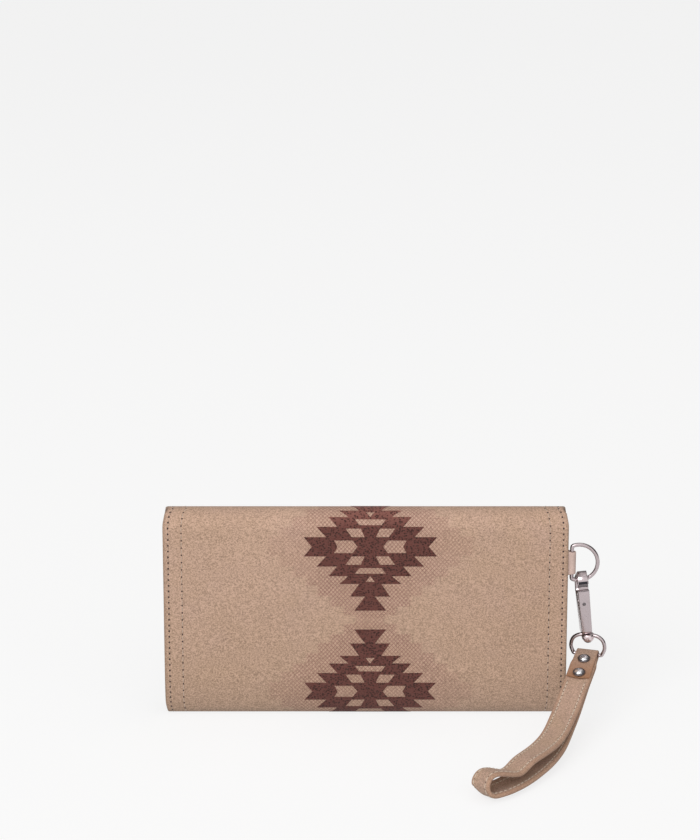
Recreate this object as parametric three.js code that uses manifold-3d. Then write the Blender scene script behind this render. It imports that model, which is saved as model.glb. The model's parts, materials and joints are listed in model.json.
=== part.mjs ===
// Flap-over wristlet wallet standing on its bottom fold.
// Units are millimetres, +X runs along the wallet's width, -Y is the outer back panel, +Z is up.
// The origin is the middle of the flat strip that the bottom fold rests on.

import * as THREE from 'three';
import { mergeVertices } from 'three/addons/utils/BufferGeometryUtils.js';
import Module from 'manifold-3d';

const wasm = await Module();
wasm.setup();

// ---------------------------------------------------------------- driving dimensions

// Outer body
const WIDTH = 200;
const HEIGHT = 106;
const TOP_ROOM = 4.4;
const BASE_ROOM = 7;
const BASE_FLAT = 10.8;
const BASE_ROUND_HEIGHT = 21;
const FLAP_RISE = 11.4;
const FLAP_CORNER = 12;
const PANEL_DROP = 14;

// Sheet thicknesses and the clearance between neighbouring layers
const COVER = 1.4;
const BOARD = 0.6;
const LINING = 0.5;
const LAYER_GAP = 0.3;
const HINGE_GAP = 0.3;
const FIT = 0.3;

// Pockets on the inner back wall
const CARD_POCKET = 0.5;
const CARD_POCKET_DROPS = [13.4, 25.4, 37.4];
const CARD_POCKET_FLOOR = 6;
const SEAM_MARGIN = 10.5;
const LINING_MARGIN = 2.5;

// Pockets inside the flap
const FLAP_POCKET = 0.4;
const FLAP_POCKET_GAP = 0.2;
const FLAP_POCKET_DROP = 14;
const FLAP_POCKET_RISE = 18;
const FLAP_POCKET_NEAR = 4;
const ID_WINDOW_NEAR = -3;
const ID_WINDOW_MARGIN = 9;

// Coin pocket and its zip
const COIN_GAP = 3;
const COIN_WALL = 0.6;
const COIN_FLOOR = 11;
const COIN_DROP = 25;
const COIN_SIDE_MARGIN = 5.5;
const TAPE = 0.5;
const TAPE_LEG = 5;
const TAPE_RISE = 2.4;
const TEETH_WIDTH = 0.8;
const TEETH_HEIGHT = 1.4;
const TEETH_SLIT = 1;
const SLIDER_LENGTH = 8.5;
const SLIDER_WIDTH = 5.2;
const SLIDER_PLATE = 0.8;
const SLIDER_WEB = 0.5;
const SLIDER_MARGIN = 22;
const STOP_LENGTH = 2.5;
const PULL_LENGTH = 15.5;
const PULL_BAR = 1;
const PULL_HOLE = 2.6;
const PULL_WIDTH = 4.4;
const PULL_THICKNESS = 0.9;
const BAIL_WIRE = 0.45;
const BAIL_RADIUS = 1.7;

// Side gussets
const GUSSET = 0.5;
const GUSSET_FOLD = 9;
const GUSSET_LOW = 24;
const GUSSET_DROP = 22;

// Press stud
const STUD_HEIGHT = 1.6;
const STUD_RADIUS = 1.9;
const SNAP_SPACE = 1.2;
const SNAP_FLANGE = 4.5;
const SNAP_FLANGE_THICKNESS = 0.35;
const SOCKET_BORE = 2.5;
const SOCKET_WALL = 0.5;
const SNAP_CAP_RADIUS = 6;
const SNAP_CAP_HEIGHT = 1.2;
const SNAP_POST = 1.1;
const SNAP_RISE = 9;

// Ring tab and D-ring
const TAB_WIDTH = 12.4;
const TAB_LEATHER = 0.8;
const TAB_ROOT = 9;
const TAB_GAP = 0.15;
const RING_WIRE = 1;
const RING_RADIUS = 9.25;
const RING_DROP = 26.1;
const RING_BAR_OFFSET = 3.55;

// Snap hook
const HOOK_WIDTH = 5.6;
const HOOK_BORE = 2.2;
const HOOK_WALL = 2.2;
const HOOK_LENGTH = 27.6;
const HOOK_TILT = THREE.MathUtils.degToRad(-6);
const HOOK_SLIDE = 1.9;
const MOUTH_TOP = -1.1;
const MOUTH_BOTTOM = -4.3;
const GATE_SLOT = 3.2;
const GATE_BLADE = 2.6;
const GATE_KNUCKLE = 1.3;
const GATE_THICKNESS = 1.2;
const PIN_RADIUS = 0.55;
const PIN_DEPTH = -1.9;
const PIN_HEIGHT = -10.1;

// Swivel eye
const EYE_WIRE = 0.95;
const EYE_HEIGHT = 10.2;
const EYE_HALF_WIDTH = 8.5;
const EYE_BAR_HALF = 7.1;
const EYE_BOSS = 2.8;
const EYE_BOSS_HEIGHT = 3.4;
const STEM_RADIUS = 0.9;
const STEM_HEAD = 1.9;
const STEM_REACH = 5;

// Wrist strap
const STRAP_TURN = THREE.MathUtils.degToRad(17.8);
const STRAP_WIDTH = 13;
const STRAP_THICKNESS = 2.2;
const STRAP_TAIL = 1.2;
const STRAP_NECK = 11;
const TAIL_LENGTH = 22;
const LOOP_HEIGHT = 12;
const LOOP_OPENS = 34;
const STRAP_LEAD = 25;
const LEAD_DROP_SHARE = 0.317;
const STRAP_REST = 7.1;
const STRAP_ROLL = THREE.MathUtils.degToRad(8);
const RIVET_CAP = 3.1;
const RIVET_CAP_HEIGHT = 1.5;
const RIVET_SHANK = 1.1;
const RIVET_FOOT_HEIGHT = 0.8;
const RIVET_COLLAR = 0.4;
const RIVET_FIT = 0.2;
const RIVET_SEAT = 0.15;
const RIVET_PLACES = [7.5, 18.5];

// ---------------------------------------------------------------- sizes that follow

const HALF = WIDTH / 2;

// On each side of the wallet's middle there is room for what it holds, then the front panel's
// lining and leather, the press stud's space, and the flap's lining and leather.
const FLAP_STACK = COVER + LAYER_GAP + LINING;
const FRONT_STACK = LINING + LAYER_GAP + COVER + SNAP_SPACE + FLAP_STACK;
const ROLL_RADIUS = TOP_ROOM + FRONT_STACK;
const BASE_HALF = BASE_ROOM + FRONT_STACK;
const ROLL_CENTRE = HEIGHT - ROLL_RADIUS;
const WALL_RISE = ROLL_CENTRE - BASE_ROUND_HEIGHT;

// The walls lean so that they run from the bottom fold to the side of the top roll.
const WALL_REACH = Math.hypot(BASE_HALF, WALL_RISE);
const LEAN = Math.acos(ROLL_RADIUS / WALL_REACH) - Math.atan2(WALL_RISE, BASE_HALF);
const WALL_LENGTH = Math.sqrt(WALL_REACH ** 2 - ROLL_RADIUS ** 2);
const BACK_LINING_NEAR = COVER + LAYER_GAP + BOARD + LAYER_GAP;
const LINING_WIDTH = WIDTH - 2 * LINING_MARGIN;
const FRONT_HALF = BASE_HALF - FLAP_STACK - SNAP_SPACE;
const PANEL_LENGTH = (HEIGHT - PANEL_DROP - BASE_ROUND_HEIGHT) / Math.cos(LEAN);
const FLAP_LENGTH = WALL_LENGTH - FLAP_RISE;
const SNAP_DROP = FLAP_LENGTH - SNAP_RISE;
const GUSSET_HIGH = HEIGHT - GUSSET_DROP;

const COIN_HALF = HALF - COIN_SIDE_MARGIN;
const COIN_TOP = HEIGHT - COIN_DROP;
const COIN_OUTER = COIN_GAP / 2 + COIN_WALL;
const TAPE_LEVEL = COIN_TOP + TAPE_RISE;
const TEETH_LEVEL = TAPE_LEVEL + TAPE / 2;
const SLIDER_TOP = TEETH_LEVEL + TEETH_HEIGHT / 2 + FIT;
const PULL_LEVEL = SLIDER_TOP + SLIDER_PLATE + 1;
const SLIDER_HOME = HALF - SLIDER_MARGIN;
const TEETH_HALF = SLIDER_HOME + SLIDER_LENGTH / 2 + 1;

// The tab lies against the inside of the back wall, which leans towards it.
const RING_HEIGHT = HEIGHT - RING_DROP;
const TAB_LEAN = (RING_HEIGHT + TAB_WIDTH / 2 - BASE_ROUND_HEIGHT) * Math.tan(LEAN);
const TAB_DEPTH = -BASE_HALF + TAB_LEAN + COVER / Math.cos(LEAN) + TAB_GAP + TAB_LEATHER;
const TAB_LOOP = RING_WIRE + 0.2 + TAB_LEATHER;
const RING_BAR_X = HALF + TAB_LOOP - 0.1;
const RING_CENTRE_X = RING_BAR_X + RING_BAR_OFFSET;
const HOOK_X = RING_CENTRE_X + HOOK_SLIDE;
const HOOK_Z = RING_HEIGHT - Math.sqrt(RING_RADIUS ** 2 - HOOK_SLIDE ** 2);
const HOOK_OUTER = HOOK_BORE + HOOK_WALL;

const EYE_X = HOOK_X - HOOK_LENGTH * Math.sin(HOOK_TILT) + 0.6;
const HOOK_FOOT = HOOK_Z - HOOK_LENGTH * Math.cos(HOOK_TILT);
const EYE_TOP = HOOK_FOOT - FIT - 0.4;
const EYE_BAR_Z = EYE_TOP - EYE_WIRE - EYE_HEIGHT;

// ---------------------------------------------------------------- materials

const finish = (color, roughness, metalness) => ({ color, roughness, metalness });
const SUEDE = finish(0xb49a86, 0.85, 0);
const TAB_LEATHER_FINISH = finish(0xc3aba0, 0.7, 0);
const STRAP_LEATHER = finish(0xb0947f, 0.75, 0);
const LINING_CLOTH = finish(0x7d6a5c, 0.9, 0);
const CARD_LEATHER = finish(0xa68c79, 0.8, 0);
const GREYBOARD = finish(0x8a8784, 0.95, 0);
const ZIP_TAPE = finish(0x6d5a4e, 0.9, 0);
const ZIP_METAL = finish(0x9c8f83, 0.35, 1);
const NICKEL = finish(0x9d8b8d, 0.3, 1);
const DARK_STEEL = finish(0x6a6062, 0.4, 1);
const CLEAR_VINYL = finish(0xd9dcdc, 0.15, 0);

// ---------------------------------------------------------------- geometry helpers

function part(name, geometry, look) {
  const mesh = new THREE.Mesh(geometry, new THREE.MeshStandardMaterial(look));
  mesh.name = name;
  return mesh;
}

function groupOf(...children) {
  const group = new THREE.Group();
  group.add(...children);
  return group;
}

function outline(points) {
  return new THREE.Shape(points.map(([x, y]) => new THREE.Vector2(x, y)));
}

// Turns an extrusion so that its own x, y and z axes lie along the three given directions.
function turned(geometry, xTo, yTo, zTo) {
  return geometry.applyMatrix4(new THREE.Matrix4().makeBasis(xTo, yTo, zTo));
}

const AXIS_X = new THREE.Vector3(1, 0, 0);
const AXIS_Y = new THREE.Vector3(0, 1, 0);
const AXIS_Z = new THREE.Vector3(0, 0, 1);
const BACKWARDS = new THREE.Vector3(0, -1, 0);

function extruded(shape, length, bevel = 0) {
  const options = {
    depth: length - 2 * bevel,
    bevelEnabled: bevel > 0,
    bevelThickness: bevel,
    bevelSize: bevel,
    bevelOffset: -bevel,
    bevelSegments: 2,
    curveSegments: 10,
  };
  return new THREE.ExtrudeGeometry(shape, options).translate(0, 0, bevel - length / 2);
}

// A (y, z) outline drawn out along X, centred on x = 0.
function acrossWidth(shape, length, bevel = 0) {
  return turned(extruded(shape, length, bevel), AXIS_Y, AXIS_Z, AXIS_X);
}

// An (x, z) outline drawn out along Y, from y = near to y = far.
function sheetBetween(shape, near, far) {
  const flat = turned(extruded(shape, far - near), AXIS_X, AXIS_Z, BACKWARDS);
  return flat.translate(0, (near + far) / 2, 0);
}

function block(x0, x1, y0, y1, z0, z1) {
  const box = new THREE.BoxGeometry(x1 - x0, y1 - y0, z1 - z0);
  return box.translate((x0 + x1) / 2, (y0 + y1) / 2, (z0 + z1) / 2);
}

// A round bar along the chosen axis: 'x', 'y' or 'z'.
function bar(radius, length, axis, sides = 20) {
  const cylinder = new THREE.CylinderGeometry(radius, radius, length, sides);
  if (axis === 'x') return cylinder.rotateZ(Math.PI / 2);
  if (axis === 'z') return cylinder.rotateX(Math.PI / 2);
  return cylinder;
}

// A turned piece about the y axis from a closed or axis-to-axis list of (radius, height).
function lathed(points, sides = 24) {
  const profile = points.map(([radius, height]) => new THREE.Vector2(radius, height));
  return new THREE.LatheGeometry(profile, sides);
}

function washer(inner, outer, y0, y1, sides = 24) {
  const corners = [[inner, y0], [outer, y0], [outer, y1], [inner, y1], [inner, y0]];
  return lathed(corners, sides);
}

function tube(curve, radius, steps, sides = 10) {
  const section = new THREE.Shape();
  section.absarc(0, 0, radius, 0, 2 * Math.PI, false);
  const options = { steps, extrudePath: curve, curveSegments: sides, bevelEnabled: false };
  return new THREE.ExtrudeGeometry(section, options);
}

function solidOf(geometry) {
  const bare = geometry.clone();
  bare.deleteAttribute('normal');
  bare.deleteAttribute('uv');
  const merged = mergeVertices(bare, 1e-4);
  return new wasm.Manifold(new wasm.Mesh({
    numProp: 3,
    vertProperties: new Float32Array(merged.attributes.position.array),
    triVerts: new Uint32Array(merged.index.array),
  }));
}

function geometryOf(solid) {
  const mesh = solid.getMesh();
  const geometry = new THREE.BufferGeometry();
  geometry.setAttribute('position', new THREE.BufferAttribute(mesh.vertProperties, 3));
  geometry.setIndex(new THREE.BufferAttribute(mesh.triVerts, 1));
  geometry.computeVertexNormals();
  return geometry;
}

function joined(...geometries) {
  const [first, ...rest] = geometries.map(solidOf);
  return geometryOf(rest.reduce((whole, piece) => whole.add(piece), first));
}

function cut(geometry, ...tools) {
  const pieces = tools.map(solidOf);
  return geometryOf(pieces.reduce((whole, tool) => whole.subtract(tool), solidOf(geometry)));
}

// A rectangle in (x, z) whose two lower corners are rounded.
function roundedFoot(halfWidth, low, high, radius) {
  const shape = new THREE.Shape();
  shape.moveTo(-halfWidth, high);
  shape.lineTo(-halfWidth, low + radius);
  shape.absarc(-halfWidth + radius, low + radius, radius, Math.PI, 1.5 * Math.PI, false);
  shape.lineTo(halfWidth - radius, low);
  shape.absarc(halfWidth - radius, low + radius, radius, 1.5 * Math.PI, 2 * Math.PI, false);
  shape.lineTo(halfWidth, high);
  return shape;
}

// ---------------------------------------------------------------- outer cover

// Points of one quarter of the bottom fold, from the resting strip up to the wall.
function foldQuarter(reach, inset, steps = 10) {
  const points = [];
  const across = reach - BASE_FLAT / 2;
  for (let i = 0; i <= steps; i += 1) {
    const angle = (Math.PI / 2) * (i / steps);
    const nx = Math.sin(angle) / across;
    const nz = Math.cos(angle) / BASE_ROUND_HEIGHT;
    const size = Math.hypot(nx, nz);
    points.push([
      BASE_FLAT / 2 + across * Math.sin(angle) - (inset * nx) / size,
      BASE_ROUND_HEIGHT * (1 - Math.cos(angle)) + (inset * nz) / size,
    ]);
  }
  return points;
}

function mirrored(points) {
  return points.map(([y, z]) => [-y, z]);
}

// The back wall and the bottom fold are one piece of the cover, J-shaped in section.
function backCover() {
  const wallEnd = (inset) => {
    const run = WALL_LENGTH - HINGE_GAP / 2;
    const y = -BASE_HALF + run * Math.sin(LEAN) + inset * Math.cos(LEAN);
    const z = BASE_ROUND_HEIGHT + run * Math.cos(LEAN) - inset * Math.sin(LEAN);
    return [y, z];
  };
  const outside = [
    wallEnd(0),
    ...mirrored(foldQuarter(BASE_HALF, 0)).reverse(),
    ...foldQuarter(FRONT_HALF, 0),
  ];
  const inside = [
    ...foldQuarter(FRONT_HALF, COVER).reverse(),
    ...mirrored(foldQuarter(BASE_HALF, COVER)),
    wallEnd(COVER),
  ];
  return acrossWidth(outline([...outside, ...inside]), WIDTH);
}

// A strip bent round the top roll, between two radii.
function rollStrip(outer, inner, length, endGap) {
  const steps = 12;
  const trim = endGap / 2 / ROLL_RADIUS;
  const first = LEAN + trim;
  const sweep = Math.PI - 2 * first;
  const arc = (radius, i) => {
    const angle = first + (sweep * i) / steps;
    return [radius * Math.cos(angle), ROLL_CENTRE + radius * Math.sin(angle)];
  };
  const points = [];
  for (let i = 0; i <= steps; i += 1) points.push(arc(outer, i));
  for (let i = steps; i >= 0; i -= 1) points.push(arc(inner, i));
  return acrossWidth(outline(points), length);
}

function spine() {
  const liningOuter = ROLL_RADIUS - COVER - LAYER_GAP;
  return groupOf(
    part('cover_spine', rollStrip(ROLL_RADIUS, ROLL_RADIUS - COVER, WIDTH, HINGE_GAP), SUEDE),
    part('spine_lining', rollStrip(liningOuter, liningOuter - LINING, LINING_WIDTH, 4), LINING_CLOTH),
  );
}

// A group whose y axis points out of a leaning wall and whose z axis climbs it.
function leaningGroup(y, z, lean, children) {
  const group = groupOf(...children);
  group.position.set(0, y, z);
  group.rotation.x = lean;
  return group;
}

// ---------------------------------------------------------------- flap

function snapHole(radius, height, y0, y1) {
  return bar(radius, y1 - y0 + 2, 'y').translate(0, (y0 + y1) / 2, height);
}

function flap() {
  const low = -FLAP_LENGTH;
  const high = -HINGE_GAP / 2;
  const hole = (y0, y1) => snapHole(SOCKET_BORE + SOCKET_WALL + FIT, -SNAP_DROP, y0, y1);
  const coverShape = roundedFoot(HALF, low, high, FLAP_CORNER);
  const cover = cut(sheetBetween(coverShape, -COVER, 0), hole(-COVER, 0));
  const liningFace = -COVER - LAYER_GAP;
  const liningShape = roundedFoot(
    HALF - LINING_MARGIN, low + LINING_MARGIN, high - 3, FLAP_CORNER - LINING_MARGIN);
  const lining = cut(
    sheetBetween(liningShape, liningFace - LINING, liningFace),
    hole(liningFace - LINING, liningFace));
  const pocketFace = -FLAP_STACK - FLAP_POCKET_GAP;
  const pocketLow = low + FLAP_POCKET_RISE;
  const slot = block(FLAP_POCKET_NEAR, HALF - SEAM_MARGIN, pocketFace - FLAP_POCKET, pocketFace,
    pocketLow, -FLAP_POCKET_DROP);
  const idWindow = block(-HALF + ID_WINDOW_MARGIN, ID_WINDOW_NEAR,
    pocketFace - FLAP_POCKET, pocketFace, pocketLow, -FLAP_POCKET_DROP);
  return leaningGroup(ROLL_RADIUS * Math.cos(LEAN), ROLL_CENTRE + ROLL_RADIUS * Math.sin(LEAN), LEAN, [
    part('cover_flap', cover, SUEDE),
    part('flap_lining', lining, LINING_CLOTH),
    part('flap_card_pocket', slot, CARD_LEATHER),
    part('id_window', idWindow, CLEAR_VINYL),
    part('snap_cap', snapCap(), NICKEL),
    part('snap_socket', snapSocket(), NICKEL),
  ]);
}

// Domed cap on the outside of the flap, with a short spigot that the socket is closed onto.
function snapCap() {
  const profile = [
    [0, 0.1],
    [SNAP_CAP_RADIUS, 0.1],
    [SNAP_CAP_RADIUS - 0.3, SNAP_CAP_HEIGHT * 0.55],
    [SNAP_CAP_RADIUS * 0.6, SNAP_CAP_HEIGHT * 0.9],
    [0, SNAP_CAP_HEIGHT],
  ];
  return lathed(profile).translate(0, 0, -SNAP_DROP);
}

function snapSocket() {
  const outer = SOCKET_BORE + SOCKET_WALL;
  const face = -FLAP_STACK - 0.1;
  const profile = [
    [SOCKET_BORE, face - SNAP_FLANGE_THICKNESS],
    [SNAP_FLANGE, face - SNAP_FLANGE_THICKNESS],
    [SNAP_FLANGE, face],
    [outer, face],
    [outer, -0.2],
    [SOCKET_BORE, -0.2],
    [SOCKET_BORE, face - SNAP_FLANGE_THICKNESS],
  ];
  return lathed(profile).translate(0, 0, -SNAP_DROP);
}

// ---------------------------------------------------------------- front pocket panel

// Where the press stud sits along the front panel, level with the socket in the flap.
const STUD_RISE = WALL_LENGTH - SNAP_DROP;

function frontPanel() {
  const hole = (y0, y1) => snapHole(SNAP_POST + FIT, STUD_RISE, y0, y1);
  const wall = block(-HALF, HALF, -COVER, 0, HINGE_GAP / 2, PANEL_LENGTH);
  const liningFace = -COVER - LAYER_GAP;
  const lining = block(-HALF + LINING_MARGIN, HALF - LINING_MARGIN,
    liningFace - LINING, liningFace, 3, PANEL_LENGTH - 2);
  return leaningGroup(FRONT_HALF, BASE_ROUND_HEIGHT, LEAN, [
    part('cover_front', cut(wall, hole(-COVER, 0)), SUEDE),
    part('front_lining', lining, LINING_CLOTH),
    part('snap_stud', snapStud(), NICKEL),
  ]);
}

// The stud and the post that rivets it through the panel.
function snapStud() {
  const profile = [
    [0, -COVER + 0.1],
    [SNAP_POST, -COVER + 0.1],
    [SNAP_POST, 0.1],
    [SNAP_FLANGE, 0.1],
    [SNAP_FLANGE, 0.1 + SNAP_FLANGE_THICKNESS],
    [STUD_RADIUS * 0.85, 0.1 + SNAP_FLANGE_THICKNESS],
    [STUD_RADIUS, STUD_HEIGHT],
    [STUD_RADIUS * 0.6, STUD_HEIGHT + 0.35],
    [0, STUD_HEIGHT + 0.35],
  ];
  return lathed(profile).translate(0, 0, STUD_RISE);
}

// ---------------------------------------------------------------- back wall layers

function backWall() {
  const boardNear = COVER + LAYER_GAP;
  const liningNear = BACK_LINING_NEAR;
  const cardWidth = HALF - SEAM_MARGIN;
  const board = block(-cardWidth, cardWidth, boardNear, boardNear + BOARD, 3, WALL_LENGTH - 4);
  const liningBlock = block(-HALF + LINING_MARGIN, HALF - LINING_MARGIN,
    liningNear, liningNear + LINING, 3, WALL_LENGTH - 3);
  const tabHeight = RING_HEIGHT - BASE_ROUND_HEIGHT;
  const tabNotch = block(HALF - TAB_ROOT - 1, HALF + 1, liningNear - 1, liningNear + LINING + 1,
    tabHeight - TAB_WIDTH / 2 - 1, tabHeight + TAB_WIDTH / 2 + 1);
  const firstPocket = liningNear + LINING + LAYER_GAP;
  const pockets = CARD_POCKET_DROPS.map((drop, i) => {
    const near = firstPocket + i * (CARD_POCKET + LAYER_GAP);
    const pocket = block(-cardWidth, cardWidth, near, near + CARD_POCKET, CARD_POCKET_FLOOR, WALL_LENGTH - drop);
    return part(`card_pocket_${i + 1}`, pocket, CARD_LEATHER);
  });
  return leaningGroup(-BASE_HALF, BASE_ROUND_HEIGHT, -LEAN, [
    part('back_board', board, GREYBOARD),
    part('back_lining', cut(liningBlock, tabNotch), LINING_CLOTH),
    ...pockets,
  ]);
}

// ---------------------------------------------------------------- gussets

// A thin strip that follows a zigzag in plan.
function zigzag(points, thickness) {
  const left = [];
  const right = [];
  points.forEach(([x, y], i) => {
    const [ax, ay] = points[Math.max(i - 1, 0)];
    const [bx, by] = points[Math.min(i + 1, points.length - 1)];
    const before = new THREE.Vector2(x - ax, y - ay).normalize();
    const after = new THREE.Vector2(bx - x, by - y).normalize();
    const along = before.clone().add(after).normalize();
    const solo = i === 0 ? after : before;
    const reach = thickness / 2 / Math.max(Math.abs(along.dot(solo)), 0.35);
    left.push([x - along.y * reach, y + along.x * reach]);
    right.push([x + along.y * reach, y - along.x * reach]);
  });
  return outline([...right, ...left.reverse()]);
}

// Accordion side, folded inwards on both sides of the coin pocket. side is 1 right, -1 left.
function gusset(name, side) {
  const outer = HALF - LINING_MARGIN;
  const inner = outer - GUSSET_FOLD;
  const lean = (GUSSET_HIGH - BASE_ROUND_HEIGHT) * Math.tan(LEAN);
  const rear = -BASE_HALF + lean + BACK_LINING_NEAR + LINING + GUSSET + LAYER_GAP;
  const front = FRONT_HALF - lean - COVER - LAYER_GAP - LINING - GUSSET / 2 - LAYER_GAP;
  const coin = COIN_OUTER + TAPE + 2 * FIT + GUSSET / 2;
  const peak = COIN_HALF + FIT + GUSSET + 0.4;
  const plan = [
    [side * outer, rear],
    [side * inner, (rear - coin) / 2],
    [side * peak, -coin],
    [side * peak, coin],
    [side * inner, (front + coin) / 2],
    [side * outer, front],
  ];
  const sheet = extruded(zigzag(plan, GUSSET), GUSSET_HIGH - GUSSET_LOW);
  return part(name, sheet.translate(0, 0, (GUSSET_HIGH + GUSSET_LOW) / 2), SUEDE);
}

// ---------------------------------------------------------------- coin pocket and zip

function coinPocket() {
  const outer = block(-COIN_HALF, COIN_HALF, -COIN_OUTER, COIN_OUTER, COIN_FLOOR, COIN_TOP);
  const inner = block(-COIN_HALF + COIN_WALL, COIN_HALF - COIN_WALL, -COIN_GAP / 2, COIN_GAP / 2,
    COIN_FLOOR + COIN_WALL, COIN_TOP + 1);
  return groupOf(
    part('coin_pocket', cut(outer, inner), LINING_CLOTH),
    part('zip_tape_front', zipTape(1), ZIP_TAPE),
    part('zip_tape_rear', zipTape(-1), ZIP_TAPE),
    part('zip_teeth_front', zipTeeth(1), ZIP_METAL),
    part('zip_teeth_rear', zipTeeth(-1), ZIP_METAL),
    part('zip_stop_closed', zipStop(1), ZIP_METAL),
    part('zip_stop_open', zipStop(-1), ZIP_METAL),
  );
}

// Tape folded over the pocket's top edge: a leg sewn to the wall and a lip that holds the teeth.
function zipTape(side) {
  const lip = TEETH_SLIT / 2 + TEETH_WIDTH + 0.1;
  const legInner = COIN_OUTER + FIT;
  const legOuter = legInner + TAPE;
  const section = [
    [lip, TAPE_LEVEL],
    [legInner, TAPE_LEVEL],
    [legInner, TAPE_LEVEL - TAPE_LEG],
    [legOuter, TAPE_LEVEL - TAPE_LEG],
    [legOuter, TAPE_LEVEL + TAPE],
    [lip, TAPE_LEVEL + TAPE],
  ];
  return acrossWidth(outline(side > 0 ? section : mirrored(section)), 2 * COIN_HALF - 2);
}

function zipTeeth(side) {
  const near = TEETH_SLIT / 2;
  const section = [
    [near, TEETH_LEVEL - TEETH_HEIGHT / 2],
    [near + TEETH_WIDTH, TEETH_LEVEL - TEETH_HEIGHT / 2],
    [near + TEETH_WIDTH, TEETH_LEVEL + TEETH_HEIGHT / 2],
    [near, TEETH_LEVEL + TEETH_HEIGHT / 2],
  ];
  return acrossWidth(outline(side > 0 ? section : mirrored(section)), 2 * TEETH_HALF);
}

function zipStop(side) {
  const near = TEETH_HALF + FIT;
  const half = TEETH_SLIT / 2 + TEETH_WIDTH;
  const [x0, x1] = side > 0 ? [near, near + STOP_LENGTH] : [-near - STOP_LENGTH, -near];
  return block(x0, x1, -half, half, TEETH_LEVEL - TEETH_HEIGHT / 2, TEETH_LEVEL + TEETH_HEIGHT / 2);
}

// Two plates joined by a thin web that runs between the rows of teeth, with a bail on top.
function zipSlider() {
  const x0 = SLIDER_HOME - SLIDER_LENGTH / 2;
  const x1 = SLIDER_HOME + SLIDER_LENGTH / 2;
  const low = TEETH_LEVEL - TEETH_HEIGHT / 2 - FIT - SLIDER_PLATE;
  const top = block(x0, x1, -SLIDER_WIDTH / 2, SLIDER_WIDTH / 2, SLIDER_TOP, SLIDER_TOP + SLIDER_PLATE);
  const lowHalf = COIN_OUTER - FIT;
  const bottom = block(x0 + 1, x1 - 1, -lowHalf, lowHalf, low, low + SLIDER_PLATE);
  const web = block(SLIDER_HOME, x1 - 1, -SLIDER_WEB / 2, SLIDER_WEB / 2,
    low + SLIDER_PLATE / 2, SLIDER_TOP + SLIDER_PLATE / 2);
  const arch = new THREE.CatmullRomCurve3([
    new THREE.Vector3(SLIDER_HOME - BAIL_RADIUS, 0, SLIDER_TOP + SLIDER_PLATE / 2),
    new THREE.Vector3(SLIDER_HOME - BAIL_RADIUS * 0.85, 0, PULL_LEVEL + 0.5),
    new THREE.Vector3(SLIDER_HOME, 0, PULL_LEVEL + BAIL_RADIUS * 0.9),
    new THREE.Vector3(SLIDER_HOME + BAIL_RADIUS * 0.85, 0, PULL_LEVEL + 0.5),
    new THREE.Vector3(SLIDER_HOME + BAIL_RADIUS, 0, SLIDER_TOP + SLIDER_PLATE / 2),
  ]);
  const slider = joined(top, bottom, web, tube(arch, BAIL_WIRE, 12, 8));
  return part('zip_slider', slider, ZIP_METAL);
}

// Pull tab: a crossbar under the bail and a flat tongue lying along the teeth.
function zipPull() {
  const half = PULL_WIDTH / 2;
  const root = SLIDER_HOME + PULL_BAR / 2;
  const tip = SLIDER_HOME - PULL_LENGTH;
  const shape = new THREE.Shape();
  shape.moveTo(root, -half);
  shape.lineTo(root, half);
  shape.lineTo(tip + half, half);
  shape.absarc(tip + half, 0, half, Math.PI / 2, 1.5 * Math.PI, false);
  const plate = extruded(shape, PULL_THICKNESS).translate(0, 0, PULL_LEVEL);
  const holeEnd = SLIDER_HOME - PULL_BAR / 2;
  const hole = block(holeEnd - PULL_HOLE, holeEnd, -2 * BAIL_WIRE, 2 * BAIL_WIRE, PULL_LEVEL - 1, PULL_LEVEL + 1);
  return part('zip_pull', cut(plate, hole), ZIP_METAL);
}

// ---------------------------------------------------------------- ring tab and D-ring

// Leather folded round the ring's bar, its root caught in the side seam.
function ringTab() {
  const root = block(HALF - TAB_ROOT, RING_BAR_X - TAB_LOOP * 0.6, TAB_DEPTH - TAB_LEATHER,
    TAB_DEPTH + TAB_LEATHER, -TAB_WIDTH / 2, TAB_WIDTH / 2);
  const loop = bar(TAB_LOOP, TAB_WIDTH, 'z').translate(RING_BAR_X, TAB_DEPTH, 0);
  const bore = bar(TAB_LOOP - TAB_LEATHER, TAB_WIDTH + 2, 'z').translate(RING_BAR_X, TAB_DEPTH, 0);
  return part('ring_tab', cut(joined(root, loop), bore).translate(0, 0, RING_HEIGHT), TAB_LEATHER_FINISH);
}

function arcPoint(radius, angle) {
  return new THREE.Vector3(radius * Math.cos(angle), 0, radius * Math.sin(angle));
}

class RingArc extends THREE.Curve {
  constructor(radius, endAngle) {
    super();
    this.radius = radius;
    this.endAngle = endAngle;
  }

  getPoint(t, target = new THREE.Vector3()) {
    return target.copy(arcPoint(this.radius, this.endAngle * (2 * t - 1)));
  }
}

function dRing() {
  const endAngle = Math.acos(-RING_BAR_OFFSET / RING_RADIUS);
  const barHalf = RING_RADIUS * Math.sin(endAngle);
  const arc = tube(new RingArc(RING_RADIUS, endAngle + 0.03), RING_WIRE, 36, 10);
  const straight = bar(RING_WIRE, 2 * barHalf + 0.6, 'z', 16).translate(-RING_BAR_OFFSET, 0, 0);
  const ring = joined(arc, straight).translate(RING_CENTRE_X, TAB_DEPTH, RING_HEIGHT);
  return part('d_ring', ring, NICKEL);
}

// ---------------------------------------------------------------- snap hook

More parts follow.
